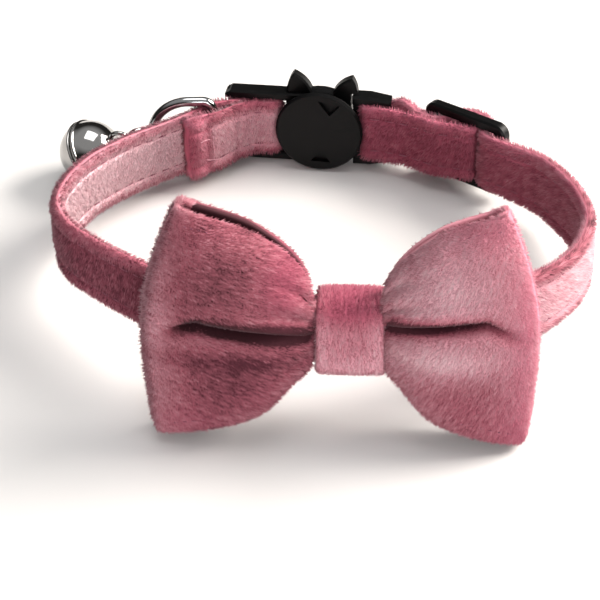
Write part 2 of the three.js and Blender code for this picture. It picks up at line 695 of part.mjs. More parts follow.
// The D-ring's straight side is caught in the fold, its bow swings outside the strap
function dRing() {
  const corner = RING_WIRE;
  const leg = RING_LENGTH - RING_HALF;
  const flat = [];
  for (const side of [1, -1]) {
    const part = [];
    for (let i = 0; i <= 2; i += 1) {
      const angle = (Math.PI / 4) * i;
      part.push([corner * (1 - Math.cos(angle)), RING_HALF - corner * (1 - Math.sin(angle))]);
    }
    for (let i = 0; i < 7; i += 1) {
      const angle = (Math.PI / 2) * (i / 7);
      part.push([leg + RING_HALF * Math.sin(angle), RING_HALF * Math.cos(angle)]);
    }
    const placed = part.map(([reach, up]) => [reach, side * up]);
    flat.push(...(side > 0 ? [...placed, [RING_LENGTH, 0]] : placed.reverse()));
  }
  const normal = new THREE.Vector3(RING_WAY.y, -RING_WAY.x, 0);
  const line = flat.map(([reach, up]) => new THREE.Vector3(RING_SEAT.x, RING_SEAT.y, BACK_LIFT + up)
    .addScaledVector(RING_WAY, reach));
  return piece('d_ring', wireRing(line, RING_WIRE, 8, normal), chrome);
}

// The table under the collar, as a slope and a height in the collar's own frame
function tableUnder(meshes) {
  const points = [];
  const point = new THREE.Vector3();
  for (const mesh of meshes) {
    mesh.updateMatrixWorld(true);
    const at = mesh.geometry.attributes.position;
    for (let i = 0; i < at.count; i += 1) {
      point.fromBufferAttribute(at, i).applyMatrix4(mesh.matrixWorld);
      points.push({ y: point.y, z: point.z });
    }
  }
  let slope = 0;
  let height = 0;
  for (let turn = 0; turn < 8; turn += 1) {
    const lowest = (list) => list.reduce((low, p) => (p.z - slope * p.y < low.z - slope * low.y ? p : low));
    const front = lowest(points.filter((p) => p.y < LOOP_DEPTH / 2));
    const back = lowest(points.filter((p) => p.y >= LOOP_DEPTH / 2));
    slope = (back.z - front.z) / (back.y - front.y);
    height = front.z - slope * front.y;
  }
  return { slope, height };
}

// The bell lies on the table, turned so that its loop reaches the jump ring
function bellPlace(table) {
  const rise = Math.hypot(1, table.slope) * (BELL_RADIUS + BELL_LIP);
  const centre = new THREE.Vector3(RING_TIP.x + BELL_FROM_RING.across, RING_TIP.y + BELL_FROM_RING.back, 0);
  centre.z = table.height + table.slope * centre.y + rise;
  const loopReach = BELL_RADIUS + BELL_LOOP_RADIUS * 0.8;
  const way = new THREE.Vector3(0.84, -0.2, 0.5).normalize();
  const hole = centre.clone().addScaledVector(way, loopReach);
  return { centre, way, hole };
}

function shell(side) {
  const steps = 7;
  const seam = side * (GAP / 2);
  const inner = BELL_RADIUS - BELL_WALL;
  const lip = BELL_RADIUS + BELL_LIP;
  const arc = (radius, i) => {
    const start = Math.asin(Math.abs(seam) / radius);
    const angle = lerp(start, Math.PI / 2, i / steps);
    return new THREE.Vector2(i === steps ? 0 : radius * Math.cos(angle), side * radius * Math.sin(angle));
  };
  const profile = [
    ...Array.from({ length: steps + 1 }, (_, i) => arc(inner, steps - i)),
    new THREE.Vector2(lip - BELL_LIP / 3, seam),
    new THREE.Vector2(lip, seam + side * BELL_LIP),
    new THREE.Vector2(lip - BELL_LIP / 3, seam + side * 2 * BELL_LIP),
    ...Array.from({ length: steps }, (_, i) => arc(BELL_RADIUS, i + 1)),
  ];
  return facingOut(mergeVertices(bareLathe(profile, 24), 1e-4));
}

function bareLathe(profile, segments) {
  const geometry = new THREE.LatheGeometry(profile, segments);
  geometry.deleteAttribute('normal');
  geometry.deleteAttribute('uv');
  return geometry.rotateX(Math.PI / 2);
}

function turnTo(mesh, centre, way) {
  mesh.quaternion.setFromUnitVectors(new THREE.Vector3(0, 0, 1), way);
  mesh.position.copy(centre);
  return mesh;
}

function bellCap({ centre, way }) {
  const reach = BELL_RADIUS + BELL_LOOP_RADIUS * 0.8;
  const line = Array.from({ length: 14 }, (_, i) => {
    const angle = (2 * Math.PI * i) / 14;
    return new THREE.Vector3(BELL_LOOP_RADIUS * Math.cos(angle), 0, reach + BELL_LOOP_RADIUS * Math.sin(angle));
  });
  const loop = wireRing(line, BELL_LOOP_WIRE, 6, new THREE.Vector3(0, 1, 0));
  return turnTo(piece('bell_cap', fromSolid(join(shell(1), loop)), chrome), centre, way);
}

function bellCup({ centre, way }) {
  const reach = BELL_RADIUS * 0.72;
  const deep = BELL_RADIUS + 1;
  const half = BELL_SLOT / 2;
  let solid = toSolid(shell(-1));
  for (const [x, y] of [[reach, half], [half, reach]]) {
    solid = solid.subtract(toSolid(block(-x, x, -y, y, -deep, -BELL_RADIUS * 0.4)));
  }
  for (let i = 0; i < 4; i += 1) {
    const angle = (Math.PI / 2) * i;
    const hole = new THREE.CylinderGeometry(BELL_HOLE / 2, BELL_HOLE / 2, deep, 12)
      .rotateX(Math.PI / 2)
      .translate(reach * Math.cos(angle), reach * Math.sin(angle), -deep / 2 - BELL_RADIUS * 0.3);
    solid = solid.subtract(toSolid(hole));
  }
  return turnTo(piece('bell_cup', fromSolid(solid), chrome), centre, way);
}

// The little ball that rings the bell lies loose on the lowest spot of its wall
function bellPellet({ centre }, table) {
  const down = new THREE.Vector3(0, table.slope, -1).normalize();
  const mesh = piece('bell_pellet', facingOut(mergeVertices(bareSphere(PELLET_RADIUS), 1e-4)), chrome);
  mesh.position.copy(centre).addScaledVector(down, BELL_RADIUS - BELL_WALL - GAP - PELLET_RADIUS);
  return mesh;
}

function bareSphere(radius) {
  const geometry = new THREE.SphereGeometry(radius, 12, 8);
  geometry.deleteAttribute('normal');
  geometry.deleteAttribute('uv');
  return geometry;
}

// The jump ring passes round the D-ring's wire and through the bell's loop
function jumpRing({ hole, way }) {
  const span = RING_TIP.clone().sub(hole);
  const along = span.clone().normalize();
  const wireAt = RING_TIP.clone().addScaledVector(along, RING_WIRE / 2 + GAP + JUMP_WIRE / 2);
  const centre = wireAt.clone().addScaledVector(along, -JUMP_RADIUS);
  const across = new THREE.Vector3(0, 0, 1).cross(along).normalize();
  const normal = along.clone().cross(across).normalize();
  const line = Array.from({ length: 18 }, (_, i) => {
    const angle = (2 * Math.PI * i) / 18;
    return centre.clone()
      .addScaledVector(along, JUMP_RADIUS * Math.cos(angle))
      .addScaledVector(across, JUMP_RADIUS * Math.sin(angle));
  });
  return piece('jump_ring', wireRing(line, JUMP_WIRE, 6, normal), chrome);
}

const route = strapRoute();
const bowLoops = bow();
const head = buckleHead();
const table = tableUnder([bowLoops, head]);
const bell = bellPlace(table);

const collar = new THREE.Group();
collar.add(
  strap(route),
  bowLoops,
  knot(),
  head,
  buckleTongue(),
  slider(),
  dRing(),
  jumpRing(bell),
  bellCap(bell),
  bellCup(bell),
  bellPellet(bell, table),
);
collar.rotation.x = -Math.atan(table.slope);

// The origin is under the middle of the whole collar, on the table
const object = new THREE.Group();
object.add(collar);
object.updateMatrixWorld(true);
const box = new THREE.Box3().setFromObject(object, true);
const middle = box.getCenter(new THREE.Vector3());
collar.position.set(-middle.x, -middle.y, -box.min.z);

export default object;
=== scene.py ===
# %% [markdown]
# # A velvet bow tie collar for a cat
# The real collar is a strip of webbing covered with dusty rose velvet. A bow is tied to it with a
# band, a cat-head breakaway buckle closes it, and it carries a slider, a D-ring and a jingle bell.
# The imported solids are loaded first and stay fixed. Every visible piece below stands where its
# solid is, with the same sizes, in millimetres until the moment it becomes a mesh.

import math

import bmesh
import bpy
import numpy as np
from mathutils import Matrix, Vector, noise


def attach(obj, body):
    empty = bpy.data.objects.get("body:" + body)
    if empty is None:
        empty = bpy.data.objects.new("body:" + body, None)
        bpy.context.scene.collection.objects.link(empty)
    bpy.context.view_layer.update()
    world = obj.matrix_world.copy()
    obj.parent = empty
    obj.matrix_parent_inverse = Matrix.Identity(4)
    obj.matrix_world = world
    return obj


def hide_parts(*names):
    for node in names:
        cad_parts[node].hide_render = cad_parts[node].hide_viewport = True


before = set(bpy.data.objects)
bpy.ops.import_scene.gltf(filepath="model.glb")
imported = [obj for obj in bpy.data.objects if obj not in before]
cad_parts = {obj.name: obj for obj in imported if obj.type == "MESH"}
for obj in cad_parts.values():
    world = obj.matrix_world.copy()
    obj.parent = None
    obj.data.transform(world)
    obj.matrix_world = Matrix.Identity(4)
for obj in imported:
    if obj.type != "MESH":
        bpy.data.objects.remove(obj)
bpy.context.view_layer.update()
MM = 0.001
print("solids:", ", ".join(sorted(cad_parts)))

# %% [markdown]
# The collar is drawn in a frame of its own: X to the right, Y from the bow to the buckle, Z along
# the strap's width. It stands tipped on the bow's lower corners and on the buckle, so one matrix
# takes every point from the collar's frame to the table's.

# %% The collar's frame
COLLAR_TIP = 0.1375543
COLLAR_AT = (2.02585, -24.95856, 14.00096)
collar_matrix = Matrix.Translation(COLLAR_AT) @ Matrix.Rotation(-COLLAR_TIP, 4, "X")


def to_table(point):
    return (collar_matrix @ Vector(point)) * MM


print("collar tipped by", round(math.degrees(COLLAR_TIP), 2), "degrees")

# %% [markdown]
# The camera looks down on the collar from in front, a little from the right, through a long lens,
# and is held slightly askew. It comes first, because every later look goes through it.

# %% Camera
CAMERA_TARGET = (-2.55, 14.5, -5.5)
CAMERA_DISTANCE = 280.5
CAMERA_AZIMUTH = math.radians(5.5)
CAMERA_ELEVATION = math.radians(36.1)
CAMERA_ROLL = math.radians(-2.02)
SENSOR = 36.0
FOCAL_PIXELS = 1792
IMAGE_PIXELS = 600


def make_camera():
    camera = bpy.data.objects.new("camera", bpy.data.cameras.new("camera"))
    bpy.context.scene.collection.objects.link(camera)
    level = math.cos(CAMERA_ELEVATION)
    back = Vector((
        math.sin(CAMERA_AZIMUTH) * level,
        -math.cos(CAMERA_AZIMUTH) * level,
        math.sin(CAMERA_ELEVATION),
    ))
    turn = collar_matrix.to_3x3()
    eye = collar_matrix @ (Vector(CAMERA_TARGET) + back * CAMERA_DISTANCE)
    side = Vector((math.cos(CAMERA_AZIMUTH), math.sin(CAMERA_AZIMUTH), 0))
    up = back.cross(side)
    axes = Matrix((turn @ side, turn @ up, turn @ back)).transposed()
    camera.matrix_world = (
        Matrix.Translation(eye * MM)
        @ axes.to_4x4()
        @ Matrix.Rotation(CAMERA_ROLL, 4, "Z")
    )
    camera.data.sensor_width = SENSOR
    camera.data.lens = FOCAL_PIXELS / IMAGE_PIXELS * SENSOR
    camera.data.clip_start = 0.01
    camera.data.clip_end = 10
    bpy.context.scene.camera = camera
    return camera


camera = make_camera()
print("camera at", [round(x, 3) for x in camera.location], "lens", round(camera.data.lens, 1))

# %% [markdown]
# Colours are written as sRGB hex values, as a paint card gives them, and turned to the linear
# values that the shader works in. One helper adds a node with its settings and its links, so each
# material below reads as a list of nodes.

# %% Colour and node helpers


def colour(code, alpha=1.0):
    levels = [int(code[i:i + 2], 16) / 255 for i in (1, 3, 5)]
    return (*[c / 12.92 if c <= 0.04045 else ((c + 0.055) / 1.055) ** 2.4 for c in levels], alpha)


def add(material, kind, links=None, **settings):
    node = material.node_tree.nodes.new(kind)
    values = settings.pop("values", {})
    ramp = settings.pop("ramp", None)
    for name, value in settings.items():
        setattr(node, name, value)
    for name, value in values.items():
        node.inputs[name].default_value = value
    if ramp:
        node.color_ramp.elements.remove(node.color_ramp.elements[1])
        for i, (place, shade) in enumerate(ramp):
            step = node.color_ramp.elements[0] if i == 0 else node.color_ramp.elements.new(place)
            step.position = place
            step.color = shade
    for name, source in (links or {}).items():
        material.node_tree.links.new(source, node.inputs[name])
    return node


def new_material(name):
    material = bpy.data.materials.new(name)
    material.use_nodes = True
    return material, material.node_tree.nodes["Principled BSDF"]


def mottle(material, size, detail, **values):
    """Noise on Object coordinates, which are in metres, with features of that many mm."""
    place = add(material, "ShaderNodeTexCoord")
    values = {"Scale": 1 / (size * MM), "Detail": detail, **values}
    links = {"Vector": place.outputs["Object"]}
    return add(material, "ShaderNodeTexNoise", links, values=values).outputs["Fac"]


def between(material, value, low, high):
    ends = {"To Min": low, "To Max": high}
    return add(material, "ShaderNodeMapRange", {"Value": value}, values=ends).outputs[0]


def roughen(material, shader, height, strength, depth):
    """A bump of that depth in mm, too fine to be geometry."""
    values = {"Strength": strength, "Distance": depth * MM}
    bump = add(material, "ShaderNodeBump", {"Height": height}, values=values)
    material.node_tree.links.new(bump.outputs["Normal"], shader.inputs["Normal"])


# %% [markdown]
# Cloth and wire are both grids rolled up: the columns close into a tube, and the rows either run
# from one end to the other or close into a ring. A second helper turns a bmesh into an object that
# rides on the collar's one body. Where a piece has real edges, an angle keeps them crisp.

# %% Piece helpers


def rolled_grid(columns, rows, place, marks=(), closed=True):
    """place gives the spot of a column and row in the collar's frame, and a value for each mark."""
    bm = bmesh.new()
    bmesh.ops.create_grid(bm, x_segments=columns, y_segments=rows, size=1)
    layers = [bm.verts.layers.float.new(mark) for mark in marks]
    for vert in bm.verts:
        column = round((vert.co.x + 1) / 2 * columns) % columns
        row = round((vert.co.y + 1) / 2 * rows)
        spot, *values = place(column, row % rows if closed else row)
        vert.co = to_table(spot)
        for layer, value in zip(layers, values):
            vert[layer] = value
    bmesh.ops.remove_doubles(bm, verts=bm.verts, dist=1e-7)
    bmesh.ops.recalc_face_normals(bm, faces=bm.faces)
    return bm


def finish_piece(name, mesh, material, replaces=(), angle=None):
    if isinstance(mesh, bmesh.types.BMesh):
        data = bpy.data.meshes.new(name)
        mesh.to_mesh(data)
        mesh.free()
        mesh = data
    mesh.polygons.foreach_set("use_smooth", [True] * len(mesh.polygons))
    if angle is not None:
        mesh.set_sharp_from_angle(angle=math.radians(angle))
    piece = bpy.data.objects.new(name, mesh)
    bpy.context.scene.collection.objects.link(piece)
    piece.data.materials.append(material)
    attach(piece, "root")
    if replaces:
        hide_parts(*replaces)
    print(name, len(mesh.polygons), "faces")
    return piece


# %% [markdown]
# ## Dusty rose velvet
# Velvet is a woven ground with a cut pile of fine upright yarn. The pile leans where it was last
# brushed: where it leans towards the light it looks pale and silky, where it leans away it looks
# deep and saturated. An image texture could hold that, but it would stretch on the folds. Here
# that sheen, and the light and shade on the cloth, are painted into two numbers on each vertex:
# tone, from painted deep shade to painted light, and blush, how far the colour goes towards a
# saturated rose. The material mixes the lit and shaded colours from them, and paints each tuft
# darker at its root than at its tip, as shade where the tufts crowd.

# %% Velvet
# Lit and shaded colours of one velvet, from painted deep shade to painted light, and its saturated
# rose
DEEP_ROSE = colour("#3E1820")
SHADE_ROSE = colour("#A55B68")
DUSTY_ROSE = colour("#CB8B96")
PALE_ROSE = colour("#E3AFB8")
LIT_ROSE = colour("#F8D4DA")
BLUSH_ROSE = colour("#C05B75")
VELVET_SHADE_TO_LIGHT = [DEEP_ROSE, SHADE_ROSE, DUSTY_ROSE, PALE_ROSE, LIT_ROSE]
PATCH = 7.0
PATCH_CONTRAST = 0.2
# Painted shade at the tufts' roots, where they crowd, and a little painted light at their tips
ROOT_SHADE = 0.68
TIP_SHADE = 1.05


def velvet(name, piled):
    material, shader = new_material(name)
    tone = add(material, "ShaderNodeAttribute", attribute_name="tone")
    blush = add(material, "ShaderNodeAttribute", attribute_name="blush")
    patches = mottle(material, PATCH, 3.0, Roughness=0.55)
    uneven = add(
        material, "ShaderNodeMath", {0: patches, 2: tone.outputs["Fac"]},
        operation="MULTIPLY_ADD", values={1: PATCH_CONTRAST},
    )
    level = add(
        material, "ShaderNodeMath", {0: uneven.outputs[0]},
        operation="SUBTRACT", values={1: PATCH_CONTRAST / 2},
    )
    shaded_tint = add(
        material, "ShaderNodeValToRGB", {"Fac": level.outputs[0]},
        ramp=[(i / 4, shaded_tint) for i, shaded_tint in enumerate(VELVET_SHADE_TO_LIGHT)],
    )
    rose = add(
        material, "ShaderNodeMix", {0: blush.outputs["Fac"], 6: shaded_tint.outputs["Color"]},
        data_type="RGBA", values={7: BLUSH_ROSE},
    )
    base = rose.outputs[2]
    if piled:
        tip = add(material, "ShaderNodeAttribute", attribute_name="tip")
        shade = between(material, tip.outputs["Fac"], ROOT_SHADE, TIP_SHADE)
        links = {0: base, "Scale": shade}
        base = add(material, "ShaderNodeVectorMath", links, operation="SCALE").outputs[0]
    material.node_tree.links.new(base, shader.inputs["Base Color"])
    shader.inputs["Roughness"].default_value = 0.8
    shader.inputs["Specular IOR Level"].default_value = 0.3
    shader.inputs["Sheen Weight"].default_value = 0.22 if piled else 0.08
    shader.inputs["Sheen Roughness"].default_value = 0.4
    shader.inputs["Sheen Tint"].default_value = colour("#F3CDD6")
    return material


velvet_ground = velvet("rose_velvet_ground", False)
velvet_pile = velvet("rose_velvet_pile", True)
print("velvet patches every", PATCH, "mm")

# %% [markdown]
# The pile is thousands of tufts, each a three-sided spike with its open root sunk in the cloth.
# Hair would not survive an export, so they are real faces. They are scattered over a cloth mesh
# by area and lean along the nap. Neighbours clump into fine strokes along the nap, some pale and
# some dark, as brushed velvet shows. Their normals come from the cloth, so the light rolls over
# them as over one soft surface.

# %% Pile helpers
STROKE_LONG = 1.2
STROKE_WIDE = 0.25
BROAD_SCALE = 0.4
ROOT_DEPTH = 0.12
STAND_UP = 0.75
SPREAD = 0.17


def vertex_spots(piece):
    spots = np.empty(len(piece.data.vertices) * 3)
    piece.data.vertices.foreach_get("co", spots)
    return spots.reshape(-1, 3) / MM


def vertex_normals(piece):
    normals = np.empty(len(piece.data.vertices) * 3, dtype=np.float32)
    piece.data.vertex_normals.foreach_get("vector", normals)
    return normals.reshape(-1, 3).astype(float)


def vertex_values(piece, name):
    values = np.empty(len(piece.data.vertices), dtype=np.float32)
    piece.data.attributes[name].data.foreach_get("value", values)
    return values.astype(float)


def paint(piece, **layers):
    for name, values in layers.items():
        layer = piece.data.attributes.new(name, "FLOAT", "POINT")
        layer.data.foreach_set("value", np.asarray(values, dtype=np.float32))


def unit(values):
    return values / np.linalg.norm(values, axis=1, keepdims=True).clip(1e-9)


def strokes(flow):
    """Noise from -1 to 1 drawn out along the first column of flow, which is in mm."""
    places = flow / [STROKE_LONG, STROKE_WIDE, STROKE_LONG]
    fine = np.array([noise.noise(Vector(p)) for p in places])
    broad = np.array([noise.noise(Vector(p * BROAD_SCALE)) for p in places])
    return fine * 1.4 + broad * 0.3


def grow_pile(name, cloth, nap, flow, amount, tall, thick, count, seed, contrast):
    """Tufts on a painted cloth. nap is a direction, flow a place along and across the strokes in mm
    and amount a share of the full length, each per vertex."""
    rng = np.random.default_rng(seed)
    mesh = cloth.data
    mesh.calc_loop_triangles()
    corners = np.empty(len(mesh.loop_triangles) * 3, dtype=np.int64)
    mesh.loop_triangles.foreach_get("vertices", corners)
    corners = corners.reshape(-1, 3)
    spots = vertex_spots(cloth)
    a, b, c = (spots[corners[:, k]] for k in range(3))
    area = np.linalg.norm(np.cross(b - a, c - a), axis=1) / 2
    steps = np.cumsum(area * amount[corners].min(axis=1).clip(0, 1))
    picks = (np.arange(count) + rng.random(count)) / count * steps[-1]
    chosen = corners[np.searchsorted(steps, picks).clip(0, len(steps) - 1)]
    mix = rng.random((count, 2))
    flip = mix.sum(axis=1) > 1
    mix[flip] = 1 - mix[flip]
    mix = np.column_stack([1 - mix.sum(axis=1), mix])

    def read(values):
        return np.einsum("ij,ij...->i...", mix, values[chosen])

    root = read(spots)
    normal = unit(read(vertex_normals(cloth)))
    lean = read(nap)
    lean = lean - normal * np.einsum("ij,ij->i", lean, normal)[:, None]
    clump = strokes(read(flow))
    stray = rng.normal(0, SPREAD, (count, 3))
    way = unit(normal * STAND_UP + lean * (1 + 0.35 * clump[:, None]) + stray)
    length = tall * read(amount) * (1 + 0.2 * clump) * rng.uniform(0.75, 1.2, count)
    side = unit(np.cross(way, rng.normal(size=(count, 3))))
    other = np.cross(way, side)
    verts = np.empty((count, 4, 3))
    for k in range(3):
        turn = 2 * math.pi * k / 3
        corner = side * math.cos(turn) + other * math.sin(turn)
        verts[:, k] = root - normal * ROOT_DEPTH + corner * thick / 2
    verts[:, 3] = root + way * length[:, None]
    faces = np.arange(count)[:, None, None] * 4 + np.array([[0, 1, 3], [1, 2, 3], [2, 0, 3]])[None]
    data = bpy.data.meshes.new(name)
    data.from_pydata((verts.reshape(-1, 3) * MM).tolist(), [], faces.reshape(-1, 3).tolist())
    piece = finish_piece(name, data, velvet_pile)
    tone = read(vertex_values(cloth, "tone")) + contrast * clump + rng.normal(0, 0.05, count)
    blush = read(vertex_values(cloth, "blush"))
    tip = np.tile([0.0, 0.0, 0.0, 1.0], count)
    paint(piece, tone=np.repeat(tone, 4), blush=np.repeat(blush, 4), tip=tip)
    facing = np.repeat(unit(normal + 0.3 * way + rng.normal(0, 0.1, (count, 3))), 4, axis=0)
    data.normals_split_custom_set_from_vertices(facing.tolist())
    return piece


# %% [markdown]
# ## The strap
# One strip of velvet-covered webbing, 11 mm wide. It starts at the hem of the left fold, goes
# round the buckle's left bar, round the neck, through the slider, round the right bar and back to
# the slider. Its route repeats the one that the solids were made from, in the same named sizes.

# %% Sizes of the strap, the buckle and the slider
GAP = 0.3
STRAP_WIDTH = 11
STRAP_THICKNESS = 1.7
FOLD_THICKNESS = 1.4
HEM_THICKNESS = 2.6
LOOP_WIDTH = 84
LOOP_DEPTH = 55.6
FRONT_LIFT = 0.3
BACK_LIFT = 0.8
BOW_LEAN = 14
BUCKLE_ACROSS = -2
BUCKLE_YAW = -5
SQUEEZE = 0.91
KNOT_SQUEEZE = 0.8
BAR_RADIUS = 0.65
LEFT_BAR = (-9.7, 2.2)
RIGHT_BAR = (9.5, 1.95)
LEFT_FOLD = 12.8
SLIDER_LENGTH = 16.2
SLIDER_DEPTH = 2
SLIDER_END_BAR = 2.1
SLIDER_BAR = 1.3
SLIDER_ACROSS = 23.2
SLIDER_BACK = 50.9
SLIDER_YAW = -35
RING_WIRE = 1.7
LAYER = FOLD_THICKNESS / 2
WRAP_RADIUS = BAR_RADIUS + GAP + LAYER

# across, back, lift: shares of half the loop's width, of its depth and of the bow's lift, and
# wide: the share of its width that the knot leaves the strap
LOOP_ROUTE = [
    (-0.705, 0.872, 0.08, 1), (-0.823, 0.792, 0, 1), (-0.937, 0.676, 0, 1), (-1.0, 0.535, 0, 1),
    (-0.993, 0.43, 0, 1), (-0.925, 0.335, 0, 1), (-0.822, 0.262, 0.02, 1), (-0.7, 0.186, 0.06, 1),
    (-0.555, 0.112, 0.2, 1), (-0.26, 0.034, 0.7, 1), (-0.02, 0.004, 1, 1),
    (0.035, 0.002, 1, KNOT_SQUEEZE), (0.152, 0.0, 1, KNOT_SQUEEZE), (0.27, 0.002, 1, KNOT_SQUEEZE),
    (0.33, 0.005, 1, 1), (0.53, 0.037, 0.7, 1), (0.73, 0.096, 0.25, 1), (0.82, 0.143, 0.1, 1),
    (0.9, 0.21, 0.03, 1), (0.957, 0.285, 0, 1), (1.0, 0.41, 0, 1), (0.978, 0.535, 0, 1),
    (0.915, 0.645, 0, 1), (0.83, 0.738, 0.05, 1),
]

# along and sink as shares of the fold's length, half the room between the layers, width share
FOLD_SEAM = [
    (0.2, 0.1, GAP, 0.91), (0.39, 0.245, GAP, 0.93), (0.64, 0.455, RING_WIRE / 2 + GAP, 1),
    (0.83, 0.615, GAP / 2, 1), (1.0, 0.765, GAP / 2, 1),
]


def frame_at(centre, yaw):
    turn = Matrix.Rotation(math.radians(yaw), 2)
    return lambda along, out: turn @ Vector((along, out)) + Vector(centre)


on_buckle = frame_at((BUCKLE_ACROSS, LOOP_DEPTH), BUCKLE_YAW)
on_slider = frame_at((SLIDER_ACROSS, SLIDER_BACK), SLIDER_YAW)
print("strap", STRAP_WIDTH, "mm wide")

# %% [markdown]
# The route is a row of chosen points with a smooth curve through them. The curve is walked in even
# steps, so the cloth's grid stays regular however the points are spaced, and each step keeps its
# distance along the strap for seams, dents and tones.

# %% The strap's route


def wrap(place, bar, radius, start, end, steps=6):
    spots = []
    for i in range(steps + 1):
        angle = math.radians(start + (end - start) * i / steps)
        spots.append(place(bar[0] + radius * math.cos(angle), bar[1] + radius * math.sin(angle)))
    return spots


def fold_layer(side):
    seam = [
        on_buckle(LEFT_BAR[0] - along * LEFT_FOLD, LEFT_BAR[1] - sink * LEFT_FOLD)
        for along, sink, _, _ in FOLD_SEAM
    ]
    layer = []
    for i, spot in enumerate(seam):
        way = (seam[min(i + 1, len(seam) - 1)] - seam[max(i - 1, 0)]).normalized()
        out = Vector((way.y, -way.x))
        hem = i >= 3 and side < 0
        thick = HEM_THICKNESS if hem else FOLD_THICKNESS
        spot = spot + out * side * (FOLD_SEAM[i][2] + thick / 2)
        layer.append((spot, thick, FOLD_SEAM[i][3], BACK_LIFT, 0))
    return layer


def strap_route():
    """The route in its stretches, each a list of (spot, thickness, width share, lift, lean)."""
    loop = []
    for across, back, lift, wide in LOOP_ROUTE:
        spot = Vector((across * LOOP_WIDTH / 2, back * LOOP_DEPTH))
        loop.append((spot, STRAP_THICKNESS, wide, lift * FRONT_LIFT, lift * BOW_LEAN))
    hug = math.hypot(SLIDER_BAR, SLIDER_DEPTH) / 2 + GAP / 3 + LAYER
    over = hug + LAYER + GAP + LAYER
    under = SLIDER_DEPTH / 2 + GAP + LAYER
    end = SLIDER_LENGTH / 2
    turn = over * 1.1
    through = [
        on_slider(end, -under),
        on_slider(end - SLIDER_END_BAR, -under),
        on_slider(turn, -under / 2),
        *wrap(on_slider, (0, 0), over, 12, 168),
        on_slider(-turn, -under / 2),
        on_slider(SLIDER_END_BAR - end, -under),
        on_slider(-end, -under),
    ]
    right_wrap = wrap(on_buckle, RIGHT_BAR, WRAP_RADIUS, 85, 268)
    push = on_buckle(0, WRAP_RADIUS / 3) - on_buckle(0, 0)
    slack = (through[-1] + right_wrap[0]) / 2 + push
    deep = under + FOLD_THICKNESS + GAP
    back = [
        on_slider(-end + GAP, -deep),
        on_slider(-turn, -deep + GAP),
        *wrap(on_slider, (0, 0), hug, -100, 110),
    ]

    def plain(spots):
        return [(spot, FOLD_THICKNESS, SQUEEZE, BACK_LIFT, 0) for spot in spots]

    return {
        "hem": fold_layer(-1)[::-1],
        "left_wrap": plain(wrap(on_buckle, LEFT_BAR, WRAP_RADIUS, -80, 95)),
        "outer_fold": fold_layer(1)[:-1],
        "loop": loop,
        "through": plain(through),
        "slack": plain([slack]),
        "right_wrap": plain(right_wrap),
        "back": plain(back),
    }


def hermite(p1, p2, m1, m2, t):
    """A place between two values, with the slopes at both ends."""
    square = p1 * -3 + p2 * 3 - m1 * 2 - m2
    cube = p1 * 2 - p2 * 2 + m1 + m2
    return p1 + m1 * t + square * t ** 2 + cube * t ** 3


def curve_point(points, place):
    """A centripetal curve through the points, place counting them from 0."""
    i = min(int(place), len(points) - 2)
    t = place - i
    p1, p2 = points[i], points[i + 1]
    p0 = points[i - 1] if i > 0 else p1 * 2 - p2
    p3 = points[i + 2] if i + 2 < len(points) else p2 * 2 - p1
    d0, d1, d2 = (max((q - p).length, 1e-6) ** 0.5 for p, q in ((p0, p1), (p1, p2), (p2, p3)))
    m1 = ((p1 - p0) / d0 - (p2 - p0) / (d0 + d1) + (p2 - p1) / d1) * d1
    m2 = ((p2 - p1) / d1 - (p3 - p1) / (d1 + d2) + (p3 - p2) / d2) * d1
    return hermite(p1, p2, m1, m2, t)


def strap_stations(step):
    """Places along the strap a step apart: spot, way, thickness, width share, lean, distance."""
    stretches = strap_route()
    route = sum(stretches.values(), [])
    points = [Vector((spot.x, spot.y, lift)) for spot, _, _, lift, _ in route]
    fine = [i / FINE_STEPS for i in range((len(route) - 1) * FINE_STEPS)] + [len(route) - 1]
    line = [curve_point(points, place) for place in fine[:-1]] + [points[-1]]
    run = np.concatenate([[0], np.cumsum([(q - p).length for p, q in zip(line, line[1:])])])
    count = round(run[-1] / step)
    wanted = np.linspace(0, run[-1], count + 1)
    places = np.interp(wanted, run, fine)
    columns = [[row[k] for row in route] for k in (1, 2, 4)]
    values = [np.interp(places, range(len(route)), column) for column in columns]
    blur = np.ones(5) / 5
    values = [np.convolve(np.pad(v, 2, mode="edge"), blur, mode="valid") for v in values]
    spots = [curve_point(points, p) for p in places]
    rows = []
    for i, spot in enumerate(spots):
        way = (spots[min(i + 1, count)] - spots[max(i - 1, 0)]).normalized()
        rows.append((spot, way, values[0][i], values[1][i], values[2][i], wanted[i]))
    row = 0
    starts = {}
    for name, stretch in stretches.items():
        starts[name] = float(np.interp(row, fine, run))
        row += len(stretch)
    return rows, starts


FINE_STEPS = 24
STRAP_STEP = 0.8
stations, starts = strap_stations(STRAP_STEP)
strap_length = stations[-1][5]


def strap_at(run):
    """The strap's station at a distance along it."""
    place = run / strap_length * (len(stations) - 1)
    i = min(int(place), len(stations) - 2)
    return tuple(p + (q - p) * (place - i) for p, q in zip(stations[i], stations[i + 1]))


print("strap", round(strap_length, 1), "mm long with its folds, in", len(stations), "steps")

# %% [markdown]
# The strap is a flat grid of cloth that is wrapped round its section and laid along the route. A
# groove runs along both edges where the seam is stitched, and leaves a soft round lip outside.

# %% Strap cloth
# up as a share of half the width, thick as a share of half the thickness
STRAP_SECTION = [
    (0, 0.94), (0.4, 0.96), (0.52, 0.88), (0.62, 0.6), (0.71, 0.88), (0.8, 1.06),
    (0.9, 0.98), (0.96, 0.72), (0.99, 0.4), (1, 0),
]
SECTION_UPS = [-1, -0.99, -0.96, -0.9, -0.8, -0.71, -0.62, -0.52, -0.4, -0.2, 0,
               0.2, 0.4, 0.52, 0.62, 0.71, 0.8, 0.9, 0.96, 0.99, 1]


def section_out(up):
    ups, outs = zip(*STRAP_SECTION)
    return float(np.interp(abs(up), ups, outs))


